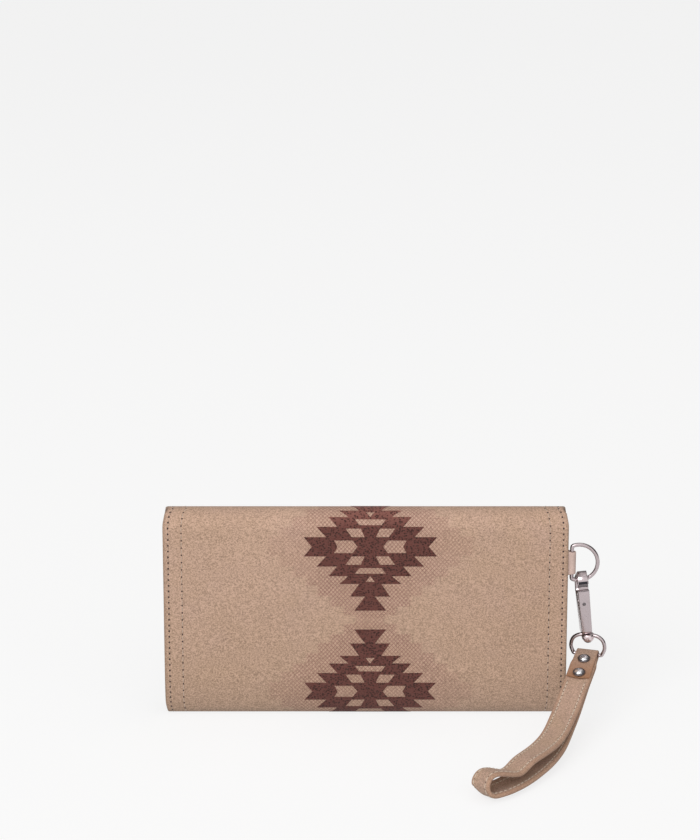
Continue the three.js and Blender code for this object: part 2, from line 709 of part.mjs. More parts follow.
// Side view of the hook's body, in (y, z) from the middle of the ring's wire.
function hookOutline() {
  const front = -HOOK_OUTER + 0.2;
  const foot = -HOOK_LENGTH;
  const shape = new THREE.Shape();
  shape.moveTo(front, foot + 1.5);
  shape.lineTo(-2.8, foot);
  shape.lineTo(2.8, foot);
  shape.lineTo(3.2, foot + 4);
  shape.lineTo(HOOK_OUTER, -6);
  shape.lineTo(HOOK_OUTER, 0);
  shape.absarc(0, 0, HOOK_OUTER, 0, Math.PI, false);
  shape.lineTo(-HOOK_OUTER, MOUTH_TOP);
  shape.lineTo(-HOOK_BORE, MOUTH_TOP);
  shape.lineTo(-HOOK_BORE, 0);
  shape.absarc(0, 0, HOOK_BORE, Math.PI, 0, true);
  shape.lineTo(HOOK_BORE, MOUTH_BOTTOM);
  shape.absarc(0, MOUTH_BOTTOM, HOOK_BORE, 0, -Math.PI, true);
  shape.lineTo(front, MOUTH_BOTTOM);
  return shape;
}

function hookBody() {
  const body = acrossWidth(hookOutline(), HOOK_WIDTH, 0.35);
  const slot = block(-GATE_SLOT / 2, GATE_SLOT / 2, PIN_DEPTH - GATE_KNUCKLE - 0.15, 1.4,
    PIN_HEIGHT - GATE_KNUCKLE - 0.8, MOUTH_BOTTOM + 0.5);
  const pinHole = bar(PIN_RADIUS + 0.2, HOOK_WIDTH + 2, 'x').translate(0, PIN_DEPTH, PIN_HEIGHT);
  const stemHole = bar(STEM_RADIUS + FIT, 2 * STEM_REACH, 'z');
  stemHole.rotateY(-HOOK_TILT);
  stemHole.translate((EYE_X - HOOK_X) * Math.cos(HOOK_TILT) + HOOK_LENGTH * Math.sin(HOOK_TILT), 0,
    -HOOK_LENGTH);
  return cut(body, slot, pinHole, stemHole);
}

function gate() {
  const top = MOUTH_TOP - 0.25;
  const front = PIN_DEPTH - GATE_THICKNESS;
  const blade = acrossWidth(outline([
    [front, top],
    [front, PIN_HEIGHT + GATE_KNUCKLE + 0.4],
    [front + GATE_THICKNESS, PIN_HEIGHT + GATE_KNUCKLE + 0.4],
    [front + GATE_THICKNESS, top],
  ]), GATE_BLADE);
  const half = GATE_BLADE / 2;
  const arm = block(-half, half - 0.6, front, PIN_DEPTH + 0.6, PIN_HEIGHT, PIN_HEIGHT + 3);
  const knuckle = bar(GATE_KNUCKLE, GATE_BLADE - 0.6, 'x').translate(-0.3, PIN_DEPTH, PIN_HEIGHT);
  const bore = bar(PIN_RADIUS + 0.25, GATE_BLADE + 2, 'x').translate(0, PIN_DEPTH, PIN_HEIGHT);
  return cut(joined(blade, arm, knuckle), bore);
}

function snapHook() {
  const spring = washer(PIN_RADIUS + 0.2, GATE_KNUCKLE - 0.1, 0, 0.45);
  spring.rotateZ(-Math.PI / 2).translate(GATE_BLADE / 2 - 0.45, PIN_DEPTH, PIN_HEIGHT);
  const pin = bar(PIN_RADIUS, HOOK_WIDTH - 0.2, 'x').translate(0, PIN_DEPTH, PIN_HEIGHT);
  const hook = groupOf(
    part('hook_body', hookBody(), NICKEL),
    part('hook_gate', gate(), NICKEL),
    part('gate_pin', pin, DARK_STEEL),
    part('gate_spring', spring, DARK_STEEL),
  );
  hook.position.set(HOOK_X, TAB_DEPTH, HOOK_Z);
  hook.rotation.y = HOOK_TILT;
  return hook;
}

// ---------------------------------------------------------------- swivel eye

// Wire stirrup with a boss at the top that turns on the hook's stem, facing the way the strap pulls.
function swivelEye() {
  const side = [
    [EYE_BAR_HALF, 0],
    [EYE_HALF_WIDTH - 0.15, EYE_HEIGHT * 0.28],
    [EYE_HALF_WIDTH, EYE_HEIGHT * 0.5],
    [EYE_HALF_WIDTH * 0.86, EYE_HEIGHT * 0.8],
    [EYE_HALF_WIDTH * 0.5, EYE_HEIGHT * 0.985],
  ];
  const right = side.map(([x, z]) => new THREE.Vector3(x, 0, z));
  const left = side.map(([x, z]) => new THREE.Vector3(-x, 0, z)).reverse();
  const middle = new THREE.Vector3(0, 0, EYE_HEIGHT);
  const frame = tube(new THREE.CatmullRomCurve3([...right, middle, ...left]), EYE_WIRE, 36, 10);
  const cross = bar(EYE_WIRE, 2 * EYE_BAR_HALF + 1.2, 'x', 16);
  const bossMiddle = EYE_HEIGHT + EYE_WIRE - EYE_BOSS_HEIGHT / 2;
  const boss = bar(EYE_BOSS, EYE_BOSS_HEIGHT, 'z').translate(0, 0, bossMiddle);
  const bore = bar(STEM_RADIUS + FIT, EYE_BOSS_HEIGHT + 4, 'z').translate(0, 0, bossMiddle);
  const eye = part('swivel_eye', cut(joined(frame, cross, boss), bore), NICKEL);
  eye.position.set(EYE_X, TAB_DEPTH, EYE_BAR_Z);
  eye.rotation.z = -STRAP_TURN;
  return eye;
}

// Rivet that carries the eye: its shank sits in the hook's foot and its head is inside the eye.
function swivelStem() {
  const under = EYE_TOP - EYE_BOSS_HEIGHT - FIT;
  const profile = [
    [0, under - 1],
    [STEM_HEAD * 0.7, under - 1],
    [STEM_HEAD, under - 0.5],
    [STEM_HEAD, under],
    [STEM_RADIUS, under],
    [STEM_RADIUS, HOOK_FOOT + STEM_REACH - 1.4],
    [0, HOOK_FOOT + STEM_REACH - 1.4],
  ];
  const stem = lathed(profile).rotateX(Math.PI / 2);
  return part('swivel_stem', stem.translate(EYE_X, TAB_DEPTH, 0), DARK_STEEL);
}

// ---------------------------------------------------------------- wrist strap

// Middle line of the strap from the eye's bar, down to the floor and round to the left.
// The first stretch is straight, because the rivets clamp it. Each later point is [sideways from
// the bar, y, share of the bar's height above the level that the loop lies at, lift above that level].
const STRAP_FALL = Math.max(EYE_BAR_Z - STRAP_REST, 0);
const STRAP_SLOPE = Math.asin((LEAD_DROP_SHARE * STRAP_FALL) / STRAP_LEAD);
const STRAP_START = new THREE.Vector3(EYE_X, TAB_DEPTH, EYE_BAR_Z);
const STRAP_AIM = new THREE.Vector3(
  -Math.sin(STRAP_TURN) * Math.cos(STRAP_SLOPE),
  -Math.cos(STRAP_TURN) * Math.cos(STRAP_SLOPE),
  -Math.sin(STRAP_SLOPE),
);
const STRAP_ROUTE = [
  [-14.6, -51, 0.31, 0],
  [-22.4, -72, 0.07, 0.5],
  [-34.4, -92.5, 0, 0.4],
  [-47.2, -107.5, 0, 0.1],
  [-58.2, -115.5, 0, 0.3],
].map(([x, y, share, lift]) => new THREE.Vector3(EYE_X + x, y, STRAP_REST + share * STRAP_FALL + lift));
const LINE_START = 6;
const strapLine = new THREE.CatmullRomCurve3([
  STRAP_START.clone().addScaledVector(STRAP_AIM, -LINE_START),
  STRAP_START,
  STRAP_START.clone().addScaledVector(STRAP_AIM, STRAP_LEAD / 2),
  STRAP_START.clone().addScaledVector(STRAP_AIM, STRAP_LEAD),
  ...STRAP_ROUTE,
], false, 'centripetal');
strapLine.arcLengthDivisions = 600;
const STRAP_LENGTH = strapLine.getLength() - LINE_START;

// The strap's own axes at a distance along it: forwards, sideways and up.
function strapAxes(along, roll = 0) {
  const u = THREE.MathUtils.clamp((along + LINE_START) / (STRAP_LENGTH + LINE_START), 0, 1);
  const forward = strapLine.getTangentAt(u);
  const side = AXIS_Z.clone().cross(forward).normalize().applyAxisAngle(forward, roll);
  const spare = along + LINE_START - u * (STRAP_LENGTH + LINE_START);
  const centre = strapLine.getPointAt(u).addScaledVector(forward, spare);
  return { centre, forward, side, up: forward.clone().cross(side) };
}

// Carries each point of a flat piece (along, sideways, up) onto the bent strap.
function bentOntoStrap(geometry) {
  const position = geometry.attributes.position;
  for (let i = 0; i < position.count; i += 1) {
    const along = position.getX(i);
    const roll = STRAP_ROLL * THREE.MathUtils.smoothstep(along, STRAP_LEAD, STRAP_LENGTH);
    const { centre, side, up } = strapAxes(along, roll);
    centre.addScaledVector(side, position.getY(i)).addScaledVector(up, position.getZ(i));
    position.setXYZ(i, centre.x, centre.y, centre.z);
  }
  geometry.computeVertexNormals();
  return geometry;
}

const WRAP_BORE = EYE_WIRE + FIT;
const WRAP_OUTER = WRAP_BORE + STRAP_TAIL;
const PACK_HALF = STRAP_THICKNESS + STRAP_TAIL / 2;
const LOOP_MIDDLE = (LOOP_HEIGHT - STRAP_THICKNESS) / 2;
const LOOP_BEND = STRAP_LENGTH - LOOP_HEIGHT / 2;
const BAND_ROOT = TAIL_LENGTH - 2;

// Height of the upper run's middle above the strap's middle line.
function runHeight(along) {
  const opening = THREE.MathUtils.smoothstep(along, TAIL_LENGTH, LOOP_BEND);
  return THREE.MathUtils.lerp(STRAP_THICKNESS / 2, LOOP_MIDDLE, opening);
}

// Narrows a flat piece towards the fold round the eye's bar.
function necked(geometry) {
  const position = geometry.attributes.position;
  for (let i = 0; i < position.count; i += 1) {
    const neck = THREE.MathUtils.smoothstep(position.getX(i), 3, 10);
    position.setY(i, position.getY(i) * THREE.MathUtils.lerp(STRAP_NECK / STRAP_WIDTH, 1, neck));
  }
  return geometry;
}

// The riveted end: the tail folded over both ends of the loop.
function strapPack() {
  const pack = new THREE.BoxGeometry(TAIL_LENGTH, STRAP_WIDTH, 2 * PACK_HALF, 11, 1, 1);
  pack.translate(TAIL_LENGTH / 2, 0, 0);
  const position = pack.attributes.position;
  for (let i = 0; i < position.count; i += 1) {
    const full = THREE.MathUtils.clamp(position.getX(i) / 4, 0, 1);
    position.setZ(i, position.getZ(i) * THREE.MathUtils.lerp(WRAP_OUTER / PACK_HALF, 1, full));
  }
  return necked(pack);
}

// Fills the wedge where the two runs lie on each other before the loop opens.
function strapWedge() {
  const length = LOOP_OPENS - BAND_ROOT;
  const wedge = new THREE.BoxGeometry(length, STRAP_WIDTH, 2, 7, 1, 1).translate(BAND_ROOT + length / 2, 0, 0);
  const position = wedge.attributes.position;
  for (let i = 0; i < position.count; i += 1) {
    position.setZ(i, position.getZ(i) * runHeight(position.getX(i)));
  }
  return wedge;
}

// The band of the loop: out along the upper run, round the end and back along the lower one.
function strapBand() {
  const run = LOOP_BEND - BAND_ROOT;
  const turn = Math.PI * LOOP_MIDDLE;
  const band = new THREE.BoxGeometry(2 * run + turn, STRAP_WIDTH, STRAP_THICKNESS, 60, 1, 1);
  const position = band.attributes.position;
  for (let i = 0; i < position.count; i += 1) {
    const reach = position.getX(i);
    const beyond = Math.max(turn / 2 - Math.abs(reach), 0);
    const angle = (Math.sign(reach) * (turn / 2 - beyond)) / LOOP_MIDDLE;
    const along = LOOP_BEND - Math.max(Math.abs(reach) - turn / 2, 0);
    const height = beyond > 0 ? LOOP_MIDDLE : runHeight(along);
    const radius = height + position.getZ(i);
    position.setX(i, along + (beyond > 0 ? radius * Math.cos(angle) : 0));
    position.setZ(i, -radius * Math.sin(angle));
  }
  return band;
}

// A turned piece set square through the strap at a distance along it.
function throughStrap(geometry, along) {
  const { centre, forward, side, up } = strapAxes(along);
  const frame = new THREE.Matrix4().makeBasis(forward, side, up).setPosition(centre);
  return geometry.rotateX(Math.PI / 2).applyMatrix4(frame);
}

// Domed cap with a collar that the post is pressed into.
function rivetCap() {
  const seat = PACK_HALF + RIVET_SEAT;
  const bore = RIVET_SHANK + RIVET_FIT;
  const collar = bore + RIVET_COLLAR;
  return lathed([
    [0, PACK_HALF],
    [bore, PACK_HALF],
    [bore, 0.4],
    [collar, 0.4],
    [collar, seat],
    [RIVET_CAP, seat],
    [RIVET_CAP, seat + RIVET_CAP_HEIGHT / 3],
    [RIVET_CAP * 0.75, seat + RIVET_CAP_HEIGHT * 0.8],
    [0, seat + RIVET_CAP_HEIGHT],
  ]);
}

function rivetPost() {
  const seat = -PACK_HALF - RIVET_SEAT;
  return lathed([
    [0, seat - RIVET_FOOT_HEIGHT],
    [RIVET_CAP - 0.5, seat - RIVET_FOOT_HEIGHT],
    [RIVET_CAP - 0.3, seat],
    [RIVET_SHANK, seat],
    [RIVET_SHANK, PACK_HALF - 0.3],
    [0, PACK_HALF - 0.3],
  ]);
}

function wristStrap() {
  const wrap = bar(WRAP_OUTER, STRAP_NECK, 'y', 24);
  const solids = [strapPack(), strapWedge(), strapBand(), wrap].map(bentOntoStrap);
  const shank = RIVET_SHANK + RIVET_FIT + RIVET_COLLAR + FIT;
  const holes = RIVET_PLACES.map((along) => throughStrap(bar(shank, 4 * PACK_HALF, 'y'), along));
  const bore = bentOntoStrap(bar(WRAP_BORE, 2 * STRAP_WIDTH, 'y', 24));
  const pieces = [part('wrist_strap', cut(joined(...solids), bore, ...holes), STRAP_LEATHER)];
  RIVET_PLACES.forEach((along, i) => {
    pieces.push(part(`rivet_cap_${i + 1}`, throughStrap(rivetCap(), along), NICKEL));
    pieces.push(part(`rivet_post_${i + 1}`, throughStrap(rivetPost(), along), DARK_STEEL));
  });
  return groupOf(...pieces);
}

// ---------------------------------------------------------------- assembly

const wallet = groupOf(
  part('cover_back', backCover(), SUEDE),
  backWall(),
  spine(),
  flap(),
  frontPanel(),
  gusset('gusset_right', 1),
  gusset('gusset_left', -1),
  coinPocket(),
  zipSlider(),
  zipPull(),
  ringTab(),
  dRing(),
  snapHook(),
  swivelEye(),
  swivelStem(),
  wristStrap(),
);
wallet.name = 'wristlet_wallet';

export default wallet;
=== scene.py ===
"""Looks of a flap-over wristlet wallet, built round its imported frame."""

import json
import math

import bpy
import numpy as np
from bpy.props import FloatProperty, FloatVectorProperty, PointerProperty
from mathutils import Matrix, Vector


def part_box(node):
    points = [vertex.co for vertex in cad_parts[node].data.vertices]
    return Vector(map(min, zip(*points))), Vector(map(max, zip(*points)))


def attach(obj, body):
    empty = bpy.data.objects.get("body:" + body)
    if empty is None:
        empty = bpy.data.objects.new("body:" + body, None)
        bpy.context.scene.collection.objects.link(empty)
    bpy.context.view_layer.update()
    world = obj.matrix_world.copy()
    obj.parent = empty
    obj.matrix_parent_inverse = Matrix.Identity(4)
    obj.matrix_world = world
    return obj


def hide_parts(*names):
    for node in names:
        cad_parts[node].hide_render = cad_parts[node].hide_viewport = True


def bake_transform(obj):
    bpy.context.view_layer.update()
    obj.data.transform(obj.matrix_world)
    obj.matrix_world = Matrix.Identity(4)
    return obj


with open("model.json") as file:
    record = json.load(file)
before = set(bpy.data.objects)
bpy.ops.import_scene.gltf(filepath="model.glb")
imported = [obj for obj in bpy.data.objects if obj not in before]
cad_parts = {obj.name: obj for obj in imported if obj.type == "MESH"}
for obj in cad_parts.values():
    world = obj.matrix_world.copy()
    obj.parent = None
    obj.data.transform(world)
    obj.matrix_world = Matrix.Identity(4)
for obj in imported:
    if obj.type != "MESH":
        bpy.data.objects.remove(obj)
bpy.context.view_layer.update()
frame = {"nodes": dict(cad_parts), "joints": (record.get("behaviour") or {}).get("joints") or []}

bl_info = {
    "name": "Wristlet Wallet",
    "version": (1, 0, 0),
    "blender": (4, 5, 0),
    "location": "View3D > Sidebar > Wallet",
    "description": "Builds the leather, metal and cloth of a flap-over wristlet wallet",
    "category": "Add Mesh",
}

MM = 0.001
JOINTS = {joint["name"]: joint for joint in frame["joints"]}


def joint_point(name):
    return np.array(JOINTS[name]["pos_m"], float)


# ---------------------------------------------------------------- sizes read from the frame

HALF_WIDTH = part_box("cover_back")[1].x
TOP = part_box("cover_spine")[1].z
BACK_HINGE = joint_point("spine_hinge")
FLAP_HINGE = joint_point("flap_hinge")
PANEL_HINGE = joint_point("front_panel_hinge")
BASE_BACK = -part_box("cover_back")[0].y
ROLL_RADIUS = (BACK_HINGE[1] ** 2 + (TOP - BACK_HINGE[2]) ** 2) / (2 * (TOP - BACK_HINGE[2]))
ROLL_CENTRE = TOP - ROLL_RADIUS
BASE_ROUND = PANEL_HINGE[2]
LEAN = math.acos(-BACK_HINGE[1] / ROLL_RADIUS)
FLAP_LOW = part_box("cover_flap")[0].z
PANEL_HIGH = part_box("cover_front")[1].z
FLAP_CORNER = 12 * MM
BASE_FLAT = 10.8 * MM
LEATHER = 1.4 * MM
EDGE_TURN = 0.55 * MM
LINING_STEP = 0.3 * MM
CLOTH = 0.5 * MM
COVER_SPLIT = 30.0      # degrees round the top roll, where the back's leather ends


# ---------------------------------------------------------------- settings

class WalletSettings(bpy.types.PropertyGroup):
    """Sizes and colours that a maker would change."""

    edge_seam: FloatProperty(
        name="Edge Seam", description="Distance of the outer seam from the side edge",
        default=2.6 * MM, unit="LENGTH")
    inner_seam: FloatProperty(
        name="Inner Seam", description="Distance of the inner seam from the side edge",
        default=9.2 * MM, unit="LENGTH")
    edge_pitch: FloatProperty(
        name="Edge Stitch", description="Stitch length of the outer seam",
        default=2.94 * MM, unit="LENGTH")
    inner_pitch: FloatProperty(
        name="Inner Stitch", description="Stitch length of the inner seam",
        default=3.7 * MM, unit="LENGTH")
    strap_pitch: FloatProperty(
        name="Strap Stitch", description="Stitch length of the wrist strap's two rows",
        default=2.7 * MM, unit="LENGTH")
    thread: FloatProperty(
        name="Thread", description="Radius of the sewing thread",
        default=0.22 * MM, unit="LENGTH")
    print_lift: FloatProperty(
        name="Print Thickness", description="How far the stepped diamonds stand proud of the suede",
        default=0.1 * MM, unit="LENGTH")
    print_offset: FloatProperty(
        name="Print Offset", description="Sideways place of the diamonds from the middle",
        default=2.3 * MM, unit="LENGTH")
    suede: FloatVectorProperty(
        name="Suede", description="Main colour of the cover", subtype="COLOR",
        size=3, default=(0.448, 0.297, 0.201))
    suede_rose: FloatVectorProperty(
        name="Suede Rose", description="Rosy tone that clouds the cover", subtype="COLOR",
        size=3, default=(0.480, 0.318, 0.240))
    print_brown: FloatVectorProperty(
        name="Print Brown", description="Colour of the stepped diamonds", subtype="COLOR",
        size=3, default=(0.105, 0.034, 0.027))
    strap_leather: FloatVectorProperty(
        name="Strap Leather", description="Colour of the wrist strap", subtype="COLOR",
        size=3, default=(0.475, 0.318, 0.222))
    nickel: FloatVectorProperty(
        name="Nickel", description="Tint of the antique nickel", subtype="COLOR",
        size=3, default=(0.50, 0.43, 0.44))


def settings():
    return bpy.context.scene.wallet_settings


# ---------------------------------------------------------------- number helpers

def ease(low, high, value):
    t = np.clip((np.asarray(value, float) - low) / (high - low), 0, 1)
    return t * t * (3 - 2 * t)


def mix(a, b, t):
    return a + (b - a) * t


def arc_points(centre, radii, start, end, count):
    angles = np.radians(np.linspace(start, end, count))
    return np.stack([centre[0] + radii[0] * np.cos(angles),
                     centre[1] + radii[1] * np.sin(angles)], 1)


def spread(low, high, step):
    return np.linspace(low, high, max(2, int(round((high - low) / step)) + 1))


# ---------------------------------------------------------------- mesh helpers

def keep_places(mesh, points, name="place"):
    """Stores a place for each point, which the grain or the crossed lines follow."""
    place = mesh.attributes.new(name, "FLOAT_VECTOR", "POINT")
    place.data.foreach_set("vector", np.asarray(points, np.float32).ravel())


def shade_smooth(mesh, sharp):
    mesh.polygons.foreach_set("use_smooth", [True] * len(mesh.polygons))
    mesh.set_sharp_from_angle(angle=math.radians(sharp))


def fasten(piece, body, slot, *nodes):
    """Fixes a piece to its body and hides the frame nodes it stands for. The slot, meant to name
    its finish, is not used.
    """
    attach(piece, body)
    if nodes:
        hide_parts(*nodes)


def new_piece(name, points, faces, material, sharp=40, marks=None):
    """A mesh that also keeps where each point was made, for the grain to follow."""
    points = np.asarray(points, float).reshape(-1, 3)
    mesh = bpy.data.meshes.new(name)
    mesh.from_pydata(points.tolist(), [], faces)
    mesh.update()
    keep_places(mesh, points)
    for key, values in (marks or {}).items():
        mark = mesh.attributes.new(key, "FLOAT", "POINT")
        mark.data.foreach_set("value", np.asarray(values, np.float32).ravel())
    shade_smooth(mesh, sharp)
    mesh.materials.append(material)
    piece = bpy.data.objects.new(name, mesh)
    bpy.context.scene.collection.objects.link(piece)
    return piece


def ring_faces(rows, columns, caps=(True, True)):
    """Faces of a tube of closed rings, capped at its ends."""
    faces = []
    for i in range(rows - 1):
        a = i * columns
        b = a + columns
        for j in range(columns):
            k = (j + 1) % columns
            faces.append((a + j, a + k, b + k, b + j))
    if caps[0]:
        faces.append(tuple(range(columns - 1, -1, -1)))
    if caps[1]:
        last = (rows - 1) * columns
        faces.append(tuple(range(last, last + columns)))
    return faces


class Heap:
    """Collects many small closed shapes into one mesh."""

    def __init__(self):
        self.points = []
        self.faces = []
        self.count = 0

    def add(self, points, faces):
        points = np.asarray(points, float).reshape(-1, 3)
        self.points.append(points)
        self.faces.extend(tuple(self.count + i for i in face) for face in faces)
        self.count += len(points)

    def add_rings(self, rings):
        rings = np.asarray(rings, float)
        self.add(rings, ring_faces(*rings.shape[:2]))

    def piece(self, name, material):
        return new_piece(name, np.vstack(self.points), self.faces, material)


def rings_piece(name, rings, material, sharp=40, marks=None, caps=(True, True)):
    rings = np.asarray(rings, float)
    faces = ring_faces(*rings.shape[:2], caps)
    return new_piece(name, rings, faces, material, sharp, marks)


def closed_tube(name, rings, material, sharp):
    """A tube whose last ring is joined to its first, turned to where the two meet."""
    rows, columns = rings.shape[:2]
    faces = ring_faces(rows, columns, (False, False))
    last = (rows - 1) * columns
    gap = int(np.argmin(np.linalg.norm(rings[0] - rings[-1][0], axis=1)))
    for j in range(columns):
        k = (j + 1) % columns
        faces.append((last + j, last + k, (k + gap) % columns, (j + gap) % columns))
    return new_piece(name, rings, faces, material, sharp)


def eased_loop(loop, times):
    """A closed line with its corners rounded off."""
    for _ in range(times):
        loop = loop * 0.5 + (np.roll(loop, 1, 0) + np.roll(loop, -1, 0)) * 0.25
    return loop


def swept_rings(path, radius, sides=20, closed=False):
    """Round rings square to a path, without twist."""
    path = np.asarray(path, float)
    radius = np.broadcast_to(radius, len(path))
    if closed:
        ahead, behind = np.roll(path, -1, 0), np.roll(path, 1, 0)
    else:
        ahead = np.vstack([path[1:], path[-1:] * 2 - path[-2:-1]])
        behind = np.vstack([path[:1] * 2 - path[1:2], path[:-1]])
    forward = ahead - behind
    forward /= np.linalg.norm(forward, axis=1, keepdims=True)
    side = np.cross(forward[0], (0.3, 0.1, 1.0))
    if np.linalg.norm(side) < 0.1:
        side = np.cross(forward[0], (0.0, 1.0, 0.0))
    angles = np.linspace(0, 2 * math.pi, sides, endpoint=False)
    rings = []
    for point, along, r in zip(path, forward, radius):
        side = side - along * side.dot(along)
        side /= np.linalg.norm(side)
        other = np.cross(along, side)
        circle = np.outer(np.cos(angles), side) + np.outer(np.sin(angles), other)
        rings.append(point + r * circle)
    return np.array(rings)


def turned_rings(profile, origin, axis, sides=48):
    """Rings of a turned shape: profile is (radius, height) along the axis."""
    axis = np.asarray(axis, float) / np.linalg.norm(axis)
    side = np.cross(axis, (0.13, 0.93, 0.21))
    side /= np.linalg.norm(side)
    other = np.cross(axis, side)
    angles = np.linspace(0, 2 * math.pi, sides, endpoint=False)
    circle = np.outer(np.cos(angles), side) + np.outer(np.sin(angles), other)
    return np.array([origin + axis * height + circle * max(radius, 1e-6)
                     for radius, height in profile])


def softened_copy(name, node, width, material, segments=2):
    """A copy of a frame node with its hard edges rounded, which stands for the node."""
    source = frame["nodes"][node]
    mesh = source.data.copy()
    mesh.materials.clear()
    mesh.materials.append(material)
    piece = bpy.data.objects.new(name, mesh)
    bpy.context.scene.collection.objects.link(piece)
    bpy.context.view_layer.objects.active = piece
    weld = piece.modifiers.new("weld", "WELD")
    weld.merge_threshold = 0.01 * MM
    flats = piece.modifiers.new("flats", "DECIMATE")
    flats.decimate_type = "DISSOLVE"
    flats.angle_limit = math.radians(2)
    bevel = piece.modifiers.new("bevel", "BEVEL")
    bevel.width = width
    bevel.segments = segments
    bevel.limit_method = "ANGLE"
    bevel.angle_limit = math.radians(30)
    bevel.use_clamp_overlap = True
    for modifier in ("weld", "flats", "bevel"):
        with bpy.context.temp_override(object=piece, active_object=piece,
                                       selected_objects=[piece]):
            bpy.ops.object.modifier_apply(modifier=modifier)
    mesh = piece.data
    places = np.zeros(len(mesh.vertices) * 3, np.float32)
    mesh.vertices.foreach_get("co", places)
    keep_places(mesh, places)
    shade_smooth(mesh, 35)
    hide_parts(node)
    return piece


# ---------------------------------------------------------------- shader helpers

class Nodes:
    """Short calls for laying out a node tree."""

    def __init__(self, tree):
        self.tree = tree

    def add(self, kind, **values):
        node = self.tree.nodes.new(kind)
        for key, value in values.items():
            setattr(node, key, value)
        return node

    def link(self, source, target):
        self.tree.links.new(source, target)

    def feed(self, socket, value):
        if isinstance(value, bpy.types.NodeSocket):
            self.link(value, socket)
        else:
            socket.default_value = value

    def math(self, operation, a, b=0.0, clamp=False):
        node = self.add("ShaderNodeMath", operation=operation, use_clamp=clamp)
        self.feed(node.inputs[0], a)
        self.feed(node.inputs[1], b)
        return node.outputs[0]

    def blend(self, factor, a, b, mode="MIX"):
        node = self.add("ShaderNodeMix", data_type="RGBA", blend_type=mode)
        self.feed(node.inputs[0], factor)
        self.feed(node.inputs[6], a)
        self.feed(node.inputs[7], b)
        return node.outputs[2]

    def span(self, value, low, high, to_low, to_high, smooth=False):
        kind = "SMOOTHSTEP" if smooth else "LINEAR"
        node = self.add("ShaderNodeMapRange", interpolation_type=kind)
        self.feed(node.inputs[0], value)
        for socket, number in zip(node.inputs[1:5], (low, high, to_low, to_high)):
            self.feed(socket, number)
        return node.outputs[0]

    def noise(self, vector, scale, detail=2.0, roughness=0.5, stretch=None):
        if stretch:
            vector = self.vector("MULTIPLY", vector, stretch)
        node = self.add("ShaderNodeTexNoise")
        self.feed(node.inputs["Vector"], vector)
        node.inputs["Scale"].default_value = scale
        node.inputs["Detail"].default_value = detail
        node.inputs["Roughness"].default_value = roughness
        return node.outputs[0]

    def vector(self, operation, a, b):
        node = self.add("ShaderNodeVectorMath", operation=operation)
        self.feed(node.inputs[0], a)
        self.feed(node.inputs[1], b)
        return node.outputs[0]

    def parts(self, vector):
        node = self.add("ShaderNodeSeparateXYZ")
        self.link(vector, node.inputs[0])
        return node.outputs

    def attribute(self, name):
        return self.add("ShaderNodeAttribute", attribute_name=name)

    def group(self, name, **values):
        node = self.add("ShaderNodeGroup")
        node.node_tree = bpy.data.node_groups[name]
        for key, value in values.items():
            self.feed(node.inputs[key], value)
        return node.outputs


def effect(name, inputs, outputs):
    """An empty shader group with named sockets, and the calls to fill it."""
    tree = bpy.data.node_groups.new(name, "ShaderNodeTree")
    new_socket = tree.interface.new_socket
    for kind, sockets in (("INPUT", inputs), ("OUTPUT", outputs)):
        for label, value in sockets.items():
            if value == "vector":
                new_socket(label, in_out=kind, socket_type="NodeSocketVector")
            elif isinstance(value, tuple):
                socket = new_socket(label, in_out=kind, socket_type="NodeSocketColor")
                socket.default_value = (*value, 1)
            else:
                socket = new_socket(label, in_out=kind, socket_type="NodeSocketFloat")
                socket.default_value = value
    nodes = Nodes(tree)
    source = nodes.add("NodeGroupInput").outputs
    target = nodes.add("NodeGroupOutput").inputs
    return nodes, source, target


def build_nap():
    """Suede nap: fine grain, clouds and rubbed patches."""
    n, source, target = effect(
        "nap", {"Place": "vector", "Grain": 2600.0, "Cloud": 45.0},
        {"Fine": 0.5, "Clouds": 0.5, "Rub": 0.5, "Olive": 0.5, "Height": 0.0})
    place = source["Place"]
    fine = n.add("ShaderNodeTexNoise")
    n.link(place, fine.inputs["Vector"])
    n.link(source["Grain"], fine.inputs["Scale"])
    fine.inputs["Detail"].default_value = 3
    fine.inputs["Roughness"].default_value = 0.65
    worm = n.noise(place, 1350, 2, 0.6, stretch=(0.8, 1.0, 1.0))
    cloud = n.add("ShaderNodeTexNoise")
    n.link(place, cloud.inputs["Vector"])
    n.link(source["Cloud"], cloud.inputs["Scale"])
    cloud.inputs["Detail"].default_value = 4
    rub = n.noise(place, 18, 3, 0.6)
    both = n.math("ADD", n.math("MULTIPLY", fine.outputs[0], 0.6),
                  n.math("MULTIPLY", worm, 0.4))
    n.link(n.span(both, 0.41, 0.59, 0, 1), target["Fine"])
    n.link(n.span(cloud.outputs[0], 0.32, 0.68, 0, 1), target["Clouds"])
    n.link(n.span(rub, 0.38, 0.66, 0, 1), target["Rub"])
    n.link(n.span(n.noise(place, 75, 3, 0.55), 0.4, 0.62, 0, 1), target["Olive"])
    n.link(both, target["Height"])


def build_weave():
    """Plain woven cloth: threads over and under on two axes."""
    n, source, target = effect(
        "weave", {"Place": "vector", "Pitch": 0.5 * MM}, {"Tone": 0.5, "Height": 0.0})
    x, y, z = n.parts(source["Place"])
    height_axis = n.math("ADD", z, n.math("MULTIPLY", y, 0.3))
    warp, weft = (
        n.math("SINE", n.math("DIVIDE", n.math("MULTIPLY", way, 2 * math.pi), source["Pitch"]))
        for way in (x, height_axis))
    cross = n.math("MULTIPLY", warp, weft)
    slub = n.noise(source["Place"], 400, 2, 0.5, stretch=(1.0, 1.0, 5.0))
    tone = n.math("ADD", n.span(cross, -1, 1, 0, 0.7), n.math("MULTIPLY", slub, 0.3))
    n.link(tone, target["Tone"])
    n.link(n.math("ADD", n.math("ABSOLUTE", warp), n.math("ABSOLUTE", weft)), target["Height"])


